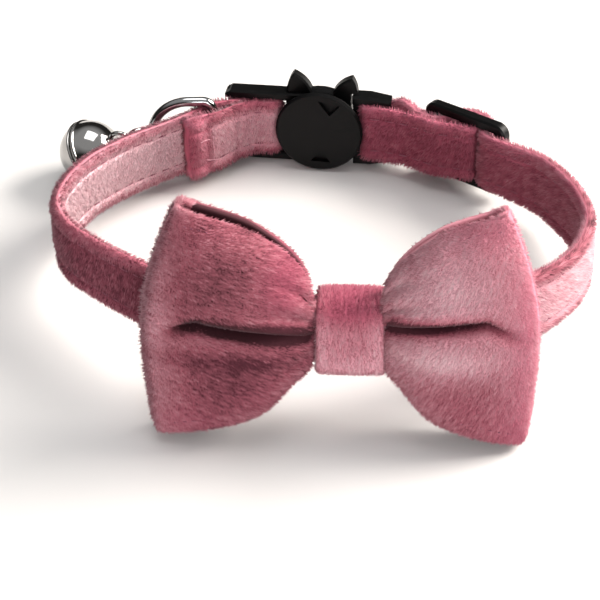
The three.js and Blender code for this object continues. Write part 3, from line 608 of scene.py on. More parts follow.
def section_point(k):
    """up and out shares of the k-th point round the section."""
    count = len(SECTION_UPS)
    side = 1 if k < count else -1
    up = SECTION_UPS[k if k < count else 2 * count - 2 - k]
    return up, side * section_out(up)


def strap_point(station, up, out, dent=0.0):
    spot, way, thick, wide, lean, _ = station
    along = Vector((way.x, way.y, 0)).normalized()
    turn = Matrix.Rotation(-math.radians(lean), 3, along)
    outward = turn @ Vector((way.y, -way.x, 0)).normalized()
    upward = turn @ Vector((0, 0, 1))
    return spot + outward * (out * thick / 2 + dent) + upward * up * wide * STRAP_WIDTH / 2


# Dents in the folds' side that faces the neck: distance along the strap, half length, depth in mm
DENTS = [
    (3.6, 0.5, 0.6), (9.6, 0.6, 0.55), (6.6, 2.2, 0.4),
    (starts["back"] - 2.2, 0.7, 0.45), (starts["right_wrap"] + 1.0, 1.0, 0.2),
]
HEM_ROLL = 1.5
HEM_ROLL_HALF = 1.2
HEM_ROLL_RISE = 0.35
WRAP_PUFF = 2.6
WRAP_PUFF_RISE = 0.55
UNEVEN = 0.2
CRUMPLE = 0.75
CRUMPLE_LIFT = 1.7
CRUMPLE_WAVE = 1.4


def cloth_dent(run, up, out):
    """How far the cloth stands proud at a place, in mm."""
    side = math.copysign(1, out)
    rise = noise.noise(Vector((run / 7, up * 1.4, 0.3 * side))) * UNEVEN
    for at, half, depth in DENTS:
        if out > 0:
            rise -= depth * math.exp(-((run - at) / half) ** 2)
    rise += looseness(run) * CRUMPLE * noise.noise(Vector((run / 1.9, up * 1.1, 4)))
    if out > 0:
        for name in ("left_wrap", "right_wrap"):
            past = run - starts[name] - WRAP_PUFF
            rise += WRAP_PUFF_RISE * math.exp(-(past / WRAP_PUFF) ** 4)
        rise += HEM_ROLL_RISE * math.exp(-((run - HEM_ROLL) / HEM_ROLL_HALF) ** 4)
    return rise


def looseness(run):
    """1 where the outer layer hangs loose between the slider and the buckle, else 0."""
    half = starts["right_wrap"] - starts["slack"]
    opens = (run - starts["slack"] + half - 0.5) / 2
    closes = (starts["right_wrap"] - 3 - run) / 2
    return max(0, min(1, opens, closes))


def crumple_lift(run, up):
    """How far the loose layer's upper edge is pushed up, in mm."""
    wave = CRUMPLE_WAVE * noise.noise(Vector((run / 2.6, 0.5, 8)))
    return looseness(run) * max(0, up) * (CRUMPLE_LIFT + wave)


def strap_vertex(k, i):
    up, out = section_point(k)
    run = stations[i][5]
    spot = strap_point(stations[i], up, out, cloth_dent(run, up, out))
    return spot + Vector((0, 0, crumple_lift(run, up))), up, out, run


def make_strap():
    round_count = 2 * len(SECTION_UPS) - 2
    marks = ("up", "out", "run")
    bm = rolled_grid(round_count, len(stations) - 1, strap_vertex, marks, closed=False)
    ends = [edge for edge in bm.edges if edge.is_boundary]
    bmesh.ops.holes_fill(bm, edges=ends, sides=0)
    bmesh.ops.recalc_face_normals(bm, faces=bm.faces)
    return finish_piece("strap_cloth", bm, velvet_ground, ["strap"])


strap_cloth = make_strap()

# %% [markdown]
# The strap's colour is painted with its light, shade and sheen. On its inner and outer face it
# depends on the direction from the loop's middle, in degrees from the right: painted light where a
# face turns to the window on the right, painted shade where it turns away. On the two folds at the
# back it depends on the distance along the strap.

# %% The strap's tones
# Painted light where a face turns to the window on the right, painted shade and more saturated rose
# where it turns away
# angle, tone, blush
INNER_TONES = np.array([
    (0, 0.4, 0.5), (45, 0.36, 0.5), (80, 0.36, 0.45), (115, 0.74, 0.15), (135, 1.05, 0.08),
    (165, 1.12, 0.05), (190, 1.05, 0.05), (215, 0.85, 0.12), (250, 0.5, 0.25), (320, 0.5, 0.25),
    (345, 0.55, 0.3), (360, 0.4, 0.5),
])
OUTER_TONES = np.array([
    (0, 0.8, 0), (60, 0.6, 0.2), (150, 0.55, 0.2), (180, 0.34, 0.2), (198, 0.22, 0.25),
    (250, 0.24, 0.15), (285, 0.5, 0.1), (310, 0.8, 0), (360, 0.8, 0),
])


# On the fold: painted shade at the hem's roll, where the step down casts a shadow, and paler on the
# panel beyond
# distance along the strap in mm, tone, blush
HEM_TONES = np.array([
    (0, 0.42, 0.55), (2.6, 0.6, 0.4), (3.6, 0.5, 0.5), (4.8, 0.8, 0.1), (9, 0.8, 0.1),
    (10.5, 0.84, 0.2), (14, 0.84, 0.2),
])
# BACK_TONE is painted shade, a deep saturated rose, on the layer that runs back to the slider
BACK_TONE = (0.24, 0.5)
LOOSE_TONE = (0.62, 0.25)
# The cloth under the pile is painted darker, as shade between the tufts
GROUND_PAINTED_SHADE = 0.1
SEAM_UP = 0.62
SEAM_HALF = 0.06


def read_tones(table, place):
    return np.array([np.interp(place, table[:, 0], table[:, k]) for k in (1, 2)])


def strap_layers():
    """tone, blush, nap, flow and share of pile for each vertex, and which have out below 0."""
    run, up, out = (vertex_values(strap_cloth, name) for name in ("run", "up", "out"))
    runs = [row[5] for row in stations]
    x = np.interp(run, runs, [row[0].x for row in stations])
    y = np.interp(run, runs, [row[0].y for row in stations])
    angle = np.degrees(np.arctan2(y - LOOP_DEPTH / 2, x)) % 360
    inside = out < 0
    hem = run < starts["loop"] - 6
    back = run > starts["right_wrap"]
    loose = (run > starts["slack"] - 8) & ~back
    tones = np.where(inside, read_tones(INNER_TONES, angle), read_tones(OUTER_TONES, angle))
    tones = np.where(hem, read_tones(HEM_TONES, run), tones)
    tones = np.where(back, np.reshape(BACK_TONE, (2, 1)), tones)
    tone, blush = np.where(loose, np.reshape(LOOSE_TONE, (2, 1)), tones)
    # Painted light on the rounded lips of dark faces, and painted shade on the lips of lit faces
    lip = np.clip((np.abs(up) - 0.68) / 0.2, 0, 1)
    tone = tone + lip * np.interp(tone, [0.3, 0.5, 0.8], [0.18, 0.12, -0.5])
    blush = blush + lip * 0.06
    # Painted shade in the seam's groove
    groove = np.exp(-((np.abs(up) - SEAM_UP) / SEAM_HALF) ** 2)
    tone = tone - 0.16 * groove
    around = np.column_stack([-(y - LOOP_DEPTH / 2), x, 0 * x])
    nap = unit(around) * np.where(back | hem, 0.25, 0.7)[:, None] + np.array([0, 0, -0.5])
    bare = 1 - 0.55 * groove
    flow = np.column_stack([run, up * STRAP_WIDTH / 2, out])
    return tone, blush, nap, flow, bare, inside


strap_tone, strap_blush, strap_nap, strap_flow, strap_bare, strap_inside = strap_layers()
paint(strap_cloth, tone=strap_tone - GROUND_PAINTED_SHADE, blush=strap_blush)
print("strap tones from", round(strap_tone.min(), 2), "to", round(strap_tone.max(), 2))

# %% [markdown]
# ## The bow
# The bow is one wide band of velvet sewn into a ring and pressed flat, tied at its waist. Each
# wing is open above and below, and a long pleat runs across it. The tables are those of the
# solids. A smooth curve through their rows gives a cloth fine enough for soft light, and a few
# sizes of its own add the folds that the solids leave out.

# %% Bow tables
WING_LEFT = 30.2
WING_RIGHT = 26.6
LEFT_RISE = 18.9
RIGHT_RISE = 18.2
LEFT_DROP = 17.5
RIGHT_DROP = 17.9
WING_DEPTH = 4.2
WING_BACK_DEPTH = 0.2
BOW_WALL = 1.5
BOW_WAIST = 1.15
BOW_ACROSS = 6.4
BOW_RISE = 1.8
PLEAT_DEPTH = 0.66
LEFT_CREASE = (-2.4, 1.6)
RIGHT_CREASE = (-0.2, 2.4)
KNOT_WIDTH = 8.8
KNOT_SWELL = 0.5
KNOT_THICKNESS = 1.1
KNOT_NOSE = 0.74
WAIST_HALF = BOW_WAIST + BOW_WALL / 2
WAIST_Y = -STRAP_THICKNESS / 2 - GAP - WAIST_HALF

# What the solids leave out, in mm: the upper lobe hangs over the crease, which is deeper and
# higher, gathers run out from the knot, the ground lies inside the pile's edge, and on the left
# the front layer's edge is lower than the back's
OVERHANG = 0.8
LOBE_OUT = 0.9
CREASE_UP = 1.8
CREASE_DEEPER = 2.6
GATHERS = 5
GATHER_DEPTH = 0.45
EDGE_IN = 0.5
DROP_IN = 1.3
SLIT = 0.65
UNEVEN_BOW = 0.5

# reach, depth, rise, drop, pleat
WING_ROWS = np.array([
    (0.0, 0.0, 0.1, 0.3, 0), (0.18, 0.02, 0.1, 0.3, 0.1), (0.21, 0.25, 0.4, 0.42, 0.75),
    (0.29, 0.6, 0.59, 0.58, 1), (0.4, 0.88, 0.73, 0.74, 1), (0.53, 1.0, 0.84, 0.86, 0.9),
    (0.67, 0.97, 0.905, 0.93, 0.65), (0.8, 0.84, 0.95, 0.97, 0.35), (0.9, 0.62, 0.98, 0.99, 0.1),
    (0.965, 0.34, 0.995, 1.0, 0), (1.0, -0.12, 1.0, 1.0, 0),
])
# level, inset, fold
WING_LEVELS = np.array([
    (-1, 0.05, 0), (-0.96, 0.044, 0), (-0.8, 0.028, 0), (-0.58, 0.015, 0), (-0.36, 0.004, -0.12),
    (-0.18, 0, 0.1), (-0.07, 0, 0.75), (0.0, 0.001, 1), (0.035, 0.002, 0.3), (0.12, 0.006, -0.16),
    (0.34, 0.034, -0.14), (0.56, 0.074, 0), (0.78, 0.124, 0), (0.96, 0.172, 0), (1, 0.186, 0),
])
bow_lean = Matrix.Rotation(-math.radians(BOW_LEAN), 4, "X")
bow_matrix = Matrix.Translation((BOW_ACROSS, 0, FRONT_LIFT)) @ bow_lean


def smooth_table(table, value):
    """A row of the table at a value of its first column, on a smooth curve through the rows."""
    keys = table[:, 0]
    i = int(np.clip(np.searchsorted(keys, value) - 1, 0, len(keys) - 2))
    t = (value - keys[i]) / (keys[i + 1] - keys[i])

    def slope(j):
        if j in (0, len(keys) - 1):
            return 0 * table[j]
        before = (table[j] - table[j - 1]) / (keys[j] - keys[j - 1])
        after = (table[j + 1] - table[j]) / (keys[j + 1] - keys[j])
        even = 2 * before * after / np.where(before + after == 0, 1, before + after)
        return np.where(before * after > 0, even, 0)

    span = keys[i + 1] - keys[i]
    return hermite(table[i], table[i + 1], slope(i) * span, slope(i + 1) * span, t)


def bow_point(wing, face, reach, level):
    """A point in the middle of the bow's cloth, in the bow's own frame."""
    _, depth, rise, drop, pleat = smooth_table(WING_ROWS, reach)
    _, inset, fold = smooth_table(WING_LEVELS, level)
    left = wing < 0
    length = WING_LEFT if left else WING_RIGHT
    height = rise * (LEFT_RISE if left else RIGHT_RISE)
    if level < 0:
        height = drop * (LEFT_DROP if left else RIGHT_DROP)
    inner, outer = LEFT_CREASE if left else RIGHT_CREASE
    crease = inner + (outer - inner) * reach + CREASE_UP
    shift = min(1, max(0, pleat) * 2) * crease
    along = reach * length * (1 - inset * reach ** 2)
    rim = 1 - 0.85 * level ** 4
    pleated = 1 - PLEAT_DEPTH * pleat * fold
    bulge = depth * (WING_DEPTH * pleated if face > 0 else WING_BACK_DEPTH) * rim
    tuck = -BOW_WAIST if depth < 0 and reach == 1 else bulge
    up = BOW_RISE + level * (height - EDGE_IN) + shift * (1 - level ** 2)
    if level < 0:
        up += DROP_IN * level ** 2 * math.exp(-((reach - 0.3) / 0.1) ** 2)
    if face > 0 and left:
        up -= SLIT * max(0, level - 0.4) / 0.6 * min(1, max(0, reach - 0.2) * 3)
    if face > 0:
        open_pleat = max(0, min(1, pleat * 1.3))
        lobe = math.exp(-((level - 0.07) / 0.05) ** 2) * open_pleat * (reach < 0.97)
        up -= OVERHANG * lobe
        tuck += LOBE_OUT * lobe
        tuck -= CREASE_DEEPER * math.exp(-((level + 0.03) / 0.08) ** 2) * open_pleat
        near = math.exp(-((reach - 0.27) / 0.09) ** 2)
        tuck += near * GATHER_DEPTH * math.cos(level * GATHERS * math.pi) * (1 - level ** 2)
        swell = noise.noise(Vector((wing * along / 8, up / 6, 2)))
        tuck += UNEVEN_BOW * swell * min(1, depth * 1.2)
    return Vector((wing * along, WAIST_Y - face * (BOW_WAIST + tuck), up))


# %% [markdown]
# The bow's cloth is first one sheet in the middle of its wall, rolled into a ring. A copy of it
# becomes the inside: each goes half the wall along its normals, and the rims are bridged. A
# Solidify modifier would throw spikes at the waist, where the ring folds back on itself.

# %% Bow cloth
BOW_ROWS = 34
BOW_LEVELS = 64
ROW_CROWDING = 1.25


def bow_rings():
    """wing, face and reach of each row round the band. Rows crowd together at the wings' ends."""
    reaches = [1 - (1 - i / BOW_ROWS) ** ROW_CROWDING for i in range(BOW_ROWS + 1)]
    return (
        [(-1, 1, s) for s in reversed(reaches)]
        + [(1, 1, s) for s in reaches[1:]]
        + [(1, -1, s) for s in reversed(reaches[:-1])]
        + [(-1, -1, s) for s in reaches[1:-1]]
    )


def is_rim(edge, level, sign):
    """Whether an edge lies on the band's upper or lower rim, as sign says."""
    return edge.is_boundary and all(v[level] * sign > 0.99 for v in edge.verts)


def make_bow():
    spots = bow_rings()

    def vertex(k, j):
        level = 2 * j / BOW_LEVELS - 1
        return bow_matrix @ bow_point(*spots[k], level), level

    bm = rolled_grid(len(spots), BOW_LEVELS, vertex, ["level"], closed=False)
    height = bm.verts.layers.float["level"]
    bm.normal_update()
    half = {vert: vert.normal * BOW_WALL / 2 * MM for vert in bm.verts}
    copy = bmesh.ops.duplicate(bm, geom=[*bm.verts, *bm.edges, *bm.faces])
    inner_faces = [item for item in copy["geom"] if isinstance(item, bmesh.types.BMFace)]
    for vert, step in half.items():
        copy["vert_map"][vert].co -= step
        vert.co += step
    bmesh.ops.reverse_faces(bm, faces=inner_faces)
    sides = set(bm.faces)
    for sign in (-1, 1):
        rims = [edge for edge in bm.edges if is_rim(edge, height, sign)]
        bmesh.ops.bridge_loops(bm, edges=rims)
    bmesh.ops.recalc_face_normals(bm, faces=[face for face in bm.faces if face not in sides])
    return finish_piece("bow_cloth", bm, velvet_ground, ["bow_loops"])


bow_cloth = make_bow()

# %% [markdown]
# The bow's light and shade are painted on with soft round strokes, each at a place on the bow in
# mm from the knot's middle: painted light where the pile turns to the window, painted shade under
# the creases and over much of the left wing, and a saturated rose along the lit right edge and
# beside the knot. Inside the wings the cloth is painted dark as deep shade and needs no pile.

# %% The bow's tones
# across, up, half width, half height, tone, blush
BOW_LIGHT_AND_SHADE = [
    (-29, 6, 3.5, 22, 0.22, -0.1), (-18, 17.5, 9, 2.2, -0.16, 0.1), (-9, 10, 3.5, 6, -0.16, 0.5),
    (-19, 9, 9, 7, -0.24, 0.0), (-11, 4, 7, 3, 0.06, 0.0), (-17, -2, 14, 1.8, -0.26, 0.1),
    (-9, -8.5, 6, 3, 0.16, 0.1), (-24, -13, 7, 4, -0.08, 0.25), (-16, -7, 10, 5, -0.3, 0.1),
    (13, 9, 9, 7, 0.42, 0.14), (19, 18, 9, 3, 0.12, 0.4), (26, 4, 3.2, 26, 0.18, 0.6),
    (15, 3.6, 10, 1.6, 0.1, 0.1), (13, -1.4, 9, 2.4, 0.46, 0.14), (17, -9, 7, 4, -0.08, 0.2),
    (9, -9, 3, 5, 0.1, 0.15), (23, -15, 8, 4, -0.08, 0.3),
]


def brush(x, z, rows, tone, blush):
    """Adds each stroke's tone and blush where it falls."""
    for at, up, wide, tall, pale, red in rows:
        share = np.exp(-((x - at) / wide) ** 2 - ((z - up) / tall) ** 2)
        tone = tone + pale * share
        blush = blush + red * share
    return tone, np.clip(blush, 0, 1)


into_bow = np.array((collar_matrix @ bow_matrix).inverted())


def in_bow_frame(spots):
    return spots @ into_bow[:3, :3].T + into_bow[:3, 3]


def crease_height(x):
    """Height of the crease at a place across the bow, and how deep the pleat is there."""
    left = x < 0
    reach = np.abs(x) / np.where(left, WING_LEFT, WING_RIGHT)
    inner = np.where(left, LEFT_CREASE[0], RIGHT_CREASE[0])
    outer = np.where(left, LEFT_CREASE[1], RIGHT_CREASE[1])
    pleat = np.interp(reach, WING_ROWS[:, 0], WING_ROWS[:, 4])
    crease = inner + (outer - inner) * reach + CREASE_UP
    return BOW_RISE + np.minimum(1, pleat * 2) * crease, pleat


# Painted shade in the creases and inside the wings, painted light inside the right wing's upper end
# where the window reaches
CREASE_SHADE = 1.3
INSIDE_PAINTED_SHADE = -0.3
RIGHT_EDGE_PAINTED_LIGHT = 0.3
BOW_GROUND_PAINTED_SHADE = 0.12

bow_local = in_bow_frame(vertex_spots(bow_cloth))
bow_faces = vertex_normals(bow_cloth) @ into_bow[:3, :3].T
across, _, height = bow_local.T
crease, pleated = crease_height(across)
bow_crease = pleated * np.exp(-((height - crease + 0.8) / 1.15) ** 2)
bow_tone, bow_blush = brush(across, height, BOW_LIGHT_AND_SHADE, 0.5, 0.0)
# Painted shade under the creases
bow_tone = bow_tone - CREASE_SHADE * bow_crease

front_side = bow_local[:, 1] < WAIST_Y - 0.2
faces_out = np.where(front_side, -bow_faces[:, 1], bow_faces[:, 1]) > -0.25
end_of_wing = 0.9 * np.where(across < 0, WING_LEFT, WING_RIGHT)
at_end = np.abs(across) > end_of_wing * (1 - 0.16 * np.clip(height / 18, 0, 1) ** 2)
bow_outside = np.where(faces_out | at_end, 1.0, 0.0)

bow_blush = bow_blush * bow_outside * (1 - bow_crease)
inside_tone = np.where((across > 0) & (height > 8), RIGHT_EDGE_PAINTED_LIGHT, INSIDE_PAINTED_SHADE)
# Outside, the cloth under the pile is painted darker as shade between the tufts
ground_tone = np.where(bow_outside > 0, bow_tone - BOW_GROUND_PAINTED_SHADE, inside_tone)
paint(bow_cloth, tone=ground_tone, blush=bow_blush)
bow_piled = bow_outside * (1 - 0.8 * bow_crease)
print("bow tones from", round(bow_tone.min(), 2), "to", round(bow_tone.max(), 2))

# %% [markdown]
# ## The knot band
# A short band of the same velvet goes round the bow's waist and the strap, as high as the strap
# behind and narrower in front.

# %% Knot band


KNOT_STEPS = 72
KNOT_CORNER = 0.28
# The band's section: across and thick as shares of half its width and half its thickness
KNOT_SECTION = [
    (-1, -0.35), (-0.96, -0.85), (-0.86, -1), (0, -1), (0.86, -1), (0.96, -0.85), (1, -0.35),
    (1, 0.35), (0.96, 0.8), (0.86, 1), (0.4, 1.1), (0, 1.12), (-0.4, 1.1), (-0.86, 1),
    (-0.96, 0.8), (-1, 0.35),
]


def make_knot():
    back_face = STRAP_THICKNESS / 2 + GAP
    front_face = WAIST_Y - WAIST_HALF - GAP
    half_depth = (back_face - front_face + KNOT_THICKNESS) / 2
    half_height = STRAP_WIDTH / 2 * KNOT_SQUEEZE + GAP + KNOT_THICKNESS * 0.9
    centre = (back_face + front_face) / 2

    def vertex(i, k):
        angle = 2 * math.pi * (i + 0.5) / KNOT_STEPS
        c, s = math.cos(angle), math.sin(angle)
        deep = math.copysign(abs(c) ** KNOT_CORNER, c)
        nose = 1 + (KNOT_NOSE - 1) * min(1, max(0, -deep))
        tall = math.copysign(abs(s) ** KNOT_CORNER, s) * half_height * nose
        out = Vector((0, c * half_height, s * half_depth)).normalized()
        across, thick = KNOT_SECTION[k]
        spot = Vector((across * (KNOT_WIDTH / 2 + KNOT_SWELL), centre + deep * half_depth, tall))
        return (bow_matrix @ (spot + out * thick * KNOT_THICKNESS / 2),)

    bm = rolled_grid(KNOT_STEPS, len(KNOT_SECTION), vertex)
    return finish_piece("knot_cloth", bm, velvet_ground, ["knot_band"])


knot_cloth = make_knot()


# %% [markdown]
# Each cloth gets its pile now. On the strap it leans along the run and down, on the left wing
# towards the knot, and on the right wing down and inwards, as the photograph's strokes run. The
# strap and the bow are covered in two parts each, so that no piece grows too heavy.

# %% Pile on the soft pieces
# across, up, half width, half height, tone, blush
KNOT_BRUSH = [
    (0, 5.8, 6, 2.8, -0.3, 0.55), (0, 0.8, 6, 2.2, 0.12, 0.05), (0, -3.6, 6, 1.6, 0.28, 0.15),
    (-4.2, 0, 0.5, 5, 0.2, 0), (4.2, 0, 0.5, 5, 0.2, 0),
]
knot_local = in_bow_frame(vertex_spots(knot_cloth))
knot_tone, knot_blush = brush(knot_local[:, 0], knot_local[:, 2], KNOT_BRUSH, 0.5, 0.1)
paint(knot_cloth, tone=knot_tone - GROUND_PAINTED_SHADE, blush=knot_blush)
knot_nap = np.tile([0.12, 0.0, -0.72], (len(knot_local), 1))
knot_flow = knot_local[:, [2, 0, 1]]

on_left = across[:, None] < 0
bow_nap = np.where(on_left, [[0.75, 0.0, -0.28]], [[-0.42, 0.0, -0.72]])
bow_way = unit(np.where(on_left, [[0.93, 0.0, -0.36]], [[0.5, 0.0, 0.86]]))
bow_flow = np.column_stack([
    (bow_local * bow_way).sum(axis=1),
    across * bow_way[:, 2] - height * bow_way[:, 0],
    bow_local[:, 1],
])

strap_look = strap_cloth, strap_nap, strap_flow
bow_look = bow_cloth, bow_nap, bow_flow
knot_look = knot_cloth, knot_nap, knot_flow
# name, look, share of pile, height, thickness, tufts, seed, contrast
for name, look, amount, *tufts in (
    ("strap_pile_inner", strap_look, strap_bare * strap_inside, 0.8, 0.21, 62000, 11, 0.32),
    ("strap_pile_outer", strap_look, strap_bare * ~strap_inside, 0.8, 0.2, 62000, 12, 0.27),
    ("bow_pile_front", bow_look, bow_piled * front_side, 0.6, 0.175, 66000, 13, 0.21),
    ("bow_pile_back", bow_look, bow_piled * ~front_side, 0.7, 0.22, 40000, 14, 0.22),
    ("knot_pile", knot_look, np.ones(len(knot_local)), 0.55, 0.18, 18000, 15, 0.26),
):
    grow_pile(name, *look, amount, *tufts)

# %% [markdown]
# ## Black plastic and plated metal
# The buckle and the slider are injection moulded in black acetal, which comes out of the mould
# with a satin face and slightly glossy edges. The D-ring, jump ring and bell are plated steel.

# %% Hard materials
FLOW_MARK = 5
MOULD_GRAIN = 0.35
PLATING_HAZE = 2.5


def moulded_plastic(name):
    material, shader = new_material(name)
    flow = mottle(material, FLOW_MARK, 2.0)
    tint = add(
        material, "ShaderNodeValToRGB", {"Fac": flow},
        ramp=[(0.3, colour("#030303")), (0.7, colour("#070708"))],
    )
    links = material.node_tree.links
    links.new(tint.outputs["Color"], shader.inputs["Base Color"])
    links.new(between(material, flow, 0.34, 0.48), shader.inputs["Roughness"])
    roughen(material, shader, mottle(material, MOULD_GRAIN, 3.0), 0.12, 0.04)
    shader.inputs["IOR"].default_value = 1.48
    shader.inputs["Specular IOR Level"].default_value = 0.16
    return material


def plated_metal(name, tint, rough_low, rough_high):
    material, shader = new_material(name)
    rough = between(material, mottle(material, PLATING_HAZE, 4.0), rough_low, rough_high)
    material.node_tree.links.new(rough, shader.inputs["Roughness"])
    shader.inputs["Base Color"].default_value = colour(tint)
    shader.inputs["Metallic"].default_value = 1.0
    return material


black_acetal = moulded_plastic("black_acetal_moulded")
plated_wire = plated_metal("nickel_plated_wire", "#A5A5A6", 0.06, 0.14)
plated_bell = plated_metal("nickel_plated_bell", "#AFADAB", 0.05, 0.12)

# %% [markdown]
# The buckle's halves and the slider already have their true form in the solids. They only lack
# the small rounding that every moulded edge has, so a bevel is laid over them.

# %% Hard pieces that keep their solids
MOULD_EDGES = {"buckle_head": 0.14, "buckle_tongue": 0.14, "slider": 0.18}

for node, rounding in MOULD_EDGES.items():
    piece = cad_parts[node]
    piece.data.materials.clear()
    piece.data.materials.append(black_acetal)
    weld = piece.modifiers.new("weld", "WELD")
    weld.merge_threshold = 1e-6
    edge = piece.modifiers.new("edge", "BEVEL")
    edge.width = rounding * MM
    edge.segments = 2
    edge.limit_method = "ANGLE"
    edge.angle_limit = math.radians(35)
print("edges rounded, in mm:", MOULD_EDGES)

# %% [markdown]
# ## Rings
# The D-ring and the jump ring are bent from round wire. A grid rolled up along the wire's line
# makes both, finer than the solids and on the same line.

# %% Rings
RING_LENGTH = 10.8
RING_SWING = math.radians(3)
EDGE_ROOM = 0.32
JUMP_RADIUS = 2.7
JUMP_WIRE = 0.8
BELL_RADIUS = 5.4
BELL_WALL = 0.5
BELL_LIP = 0.3
BELL_FROM_RING = (-10.6, -2)
BELL_FACING = (0.84, -0.2, 0.5)
BELL_LOOP_RADIUS = 1.5
BELL_LOOP_WIRE = 0.8
BELL_SLOT = 1
BELL_HOLE = 1.9
PELLET_RADIUS = 1.7
RING_HALF = STRAP_WIDTH / 2 + EDGE_ROOM + RING_WIRE / 2
seat_along, seat_sink = FOLD_SEAM[2][:2]
ring_seat = on_buckle(LEFT_BAR[0] - seat_along * LEFT_FOLD, LEFT_BAR[1] - seat_sink * LEFT_FOLD)
ring_seat = Vector((ring_seat.x, ring_seat.y, BACK_LIFT))
ring_way = Vector((-math.cos(RING_SWING), -math.sin(RING_SWING), 0))
ring_tip = ring_seat + ring_way * RING_LENGTH


WIRE_SIDES = 20


def wire_ring(name, line, wire, normal, replaces):
    """A closed wire along points in the collar's frame that lie in one plane."""

    def vertex(i, j):
        turn = 2 * math.pi * j / WIRE_SIDES
        out = (line[(i + 1) % len(line)] - line[i - 1]).cross(normal).normalized()
        return (line[i] + (out * math.cos(turn) + normal * math.sin(turn)) * wire / 2,)

    bm = rolled_grid(len(line), WIRE_SIDES, vertex)
    return finish_piece(name, bm, plated_wire, replaces)


def d_ring_line():
    corner = RING_WIRE
    leg = RING_LENGTH - RING_HALF
    half = []
    for i in range(9):
        angle = math.pi / 2 * i / 8
        half.append((corner * (1 - math.cos(angle)), RING_HALF - corner * (1 - math.sin(angle))))
    for i in range(1, 40):
        angle = math.pi / 2 * i / 40
        half.append((leg + RING_HALF * math.sin(angle), RING_HALF * math.cos(angle)))
    flat = [*half, (RING_LENGTH, 0), *[(reach, -up) for reach, up in reversed(half)]]
    return [ring_seat + ring_way * reach + Vector((0, 0, up)) for reach, up in flat]


bell_rise = math.hypot(1, math.tan(COLLAR_TIP)) * (BELL_RADIUS + BELL_LIP)
table_height = -COLLAR_AT[2] / math.cos(COLLAR_TIP)
bell_centre = Vector((ring_tip.x + BELL_FROM_RING[0], ring_tip.y + BELL_FROM_RING[1], 0))
bell_centre.z = table_height + math.tan(COLLAR_TIP) * bell_centre.y + bell_rise
bell_way = Vector(BELL_FACING).normalized()
bell_hole = bell_centre + bell_way * (BELL_RADIUS + BELL_LOOP_RADIUS * 0.8)

jump_along = (ring_tip - bell_hole).normalized()
jump_centre = ring_tip + jump_along * (RING_WIRE / 2 + GAP + JUMP_WIRE / 2 - JUMP_RADIUS)
jump_across = Vector((0, 0, 1)).cross(jump_along).normalized()
jump_normal = jump_along.cross(jump_across).normalized()
jump_line = []
for i in range(48):
    out = jump_along * math.cos(math.pi * i / 24) + jump_across * math.sin(math.pi * i / 24)
    jump_line.append(jump_centre + out * JUMP_RADIUS)
ring_normal = Vector((ring_way.y, -ring_way.x, 0))
wire_ring("d_ring_wire", d_ring_line(), RING_WIRE, ring_normal, ["d_ring"])
wire_ring("jump_ring_wire", jump_line, JUMP_WIRE, jump_normal, ["jump_ring"])

# %% [markdown]
# ## Bell
# A jingle bell is two pressed bowls crimped together, with a wire loop on the cap and a cross cut
# into the cup that ends in four round holes. Each bowl is half of its outline spun round once.
# The cross is cut with a Boolean, because the spun bowl has no edges where the slots run.

# %% Bell bowls
bell_turn = Vector((0, 0, 1)).rotation_difference(bell_way).to_matrix().to_4x4()
bell_matrix = Matrix.Translation(bell_centre) @ bell_turn
bell_to_table = Matrix.Scale(MM, 4) @ collar_matrix @ bell_matrix


def full_turn(bm, geometry, centre, axis, steps):
    bmesh.ops.spin(
        bm, geom=geometry, cent=centre, axis=axis, angle=2 * math.pi, steps=steps, use_merge=True,
    )


def bell_bowl(side):
    """The cap for side 1 or the cup for side -1, its seam at height 0."""
    seam = side * GAP / 2
    inner = BELL_RADIUS - BELL_WALL
    lip = BELL_RADIUS + BELL_LIP

    def arc(radius, i):
        start = math.asin(abs(seam) / radius)
        angle = start + (math.pi / 2 - start) * i / 20
        return radius * math.cos(angle) if i < 20 else 0, side * radius * math.sin(angle)

    outline = [arc(inner, 20 - i) for i in range(21)]
    for i in range(7):
        angle = math.pi * (i / 6 - 0.5)
        out = lip - BELL_LIP * (1 - math.cos(angle))
        outline.append((out, seam + side * BELL_LIP * (1 + math.sin(angle))))
    outline += [arc(BELL_RADIUS, i) for i in range(3, 21)]
    bm = bmesh.new()
    verts = [bm.verts.new((x, 0, z)) for x, z in outline]
    edges = [bm.edges.new(pair) for pair in zip(verts, verts[1:])]
    full_turn(bm, verts + edges, (0, 0, 0), (0, 0, 1), 72)
    bmesh.ops.remove_doubles(bm, verts=bm.verts, dist=1e-5)
    bmesh.ops.recalc_face_normals(bm, faces=bm.faces)
    return bm


def bell_cap():
    bm = bell_bowl(1)
    reach = BELL_RADIUS + BELL_LOOP_RADIUS * 0.8
    before = set(bm.verts)
    ring = bmesh.ops.create_circle(bm, segments=16, radius=BELL_LOOP_WIRE / 2)["verts"]
    bmesh.ops.rotate(bm, verts=ring, cent=(0, 0, 0), matrix=Matrix.Rotation(math.pi / 2, 3, "X"))
    bmesh.ops.rotate(bm, verts=ring, cent=(0, 0, 0), matrix=Matrix.Rotation(math.pi / 2, 3, "Z"))
    bmesh.ops.translate(bm, verts=ring, vec=(0, 0, reach + BELL_LOOP_RADIUS))
    edges = list({e for v in ring for e in v.link_edges})
    full_turn(bm, ring + edges, (0, 0, reach), (0, 1, 0), 40)
    loop = [v for v in bm.verts if v not in before]
    bmesh.ops.remove_doubles(bm, verts=loop, dist=1e-5)
    faces = list({f for v in loop for f in v.link_faces})
    bmesh.ops.recalc_face_normals(bm, faces=faces)
    bm.transform(bell_to_table)
    return finish_piece("bell_cap_shell", bm, plated_bell, ["bell_cap"], 50)


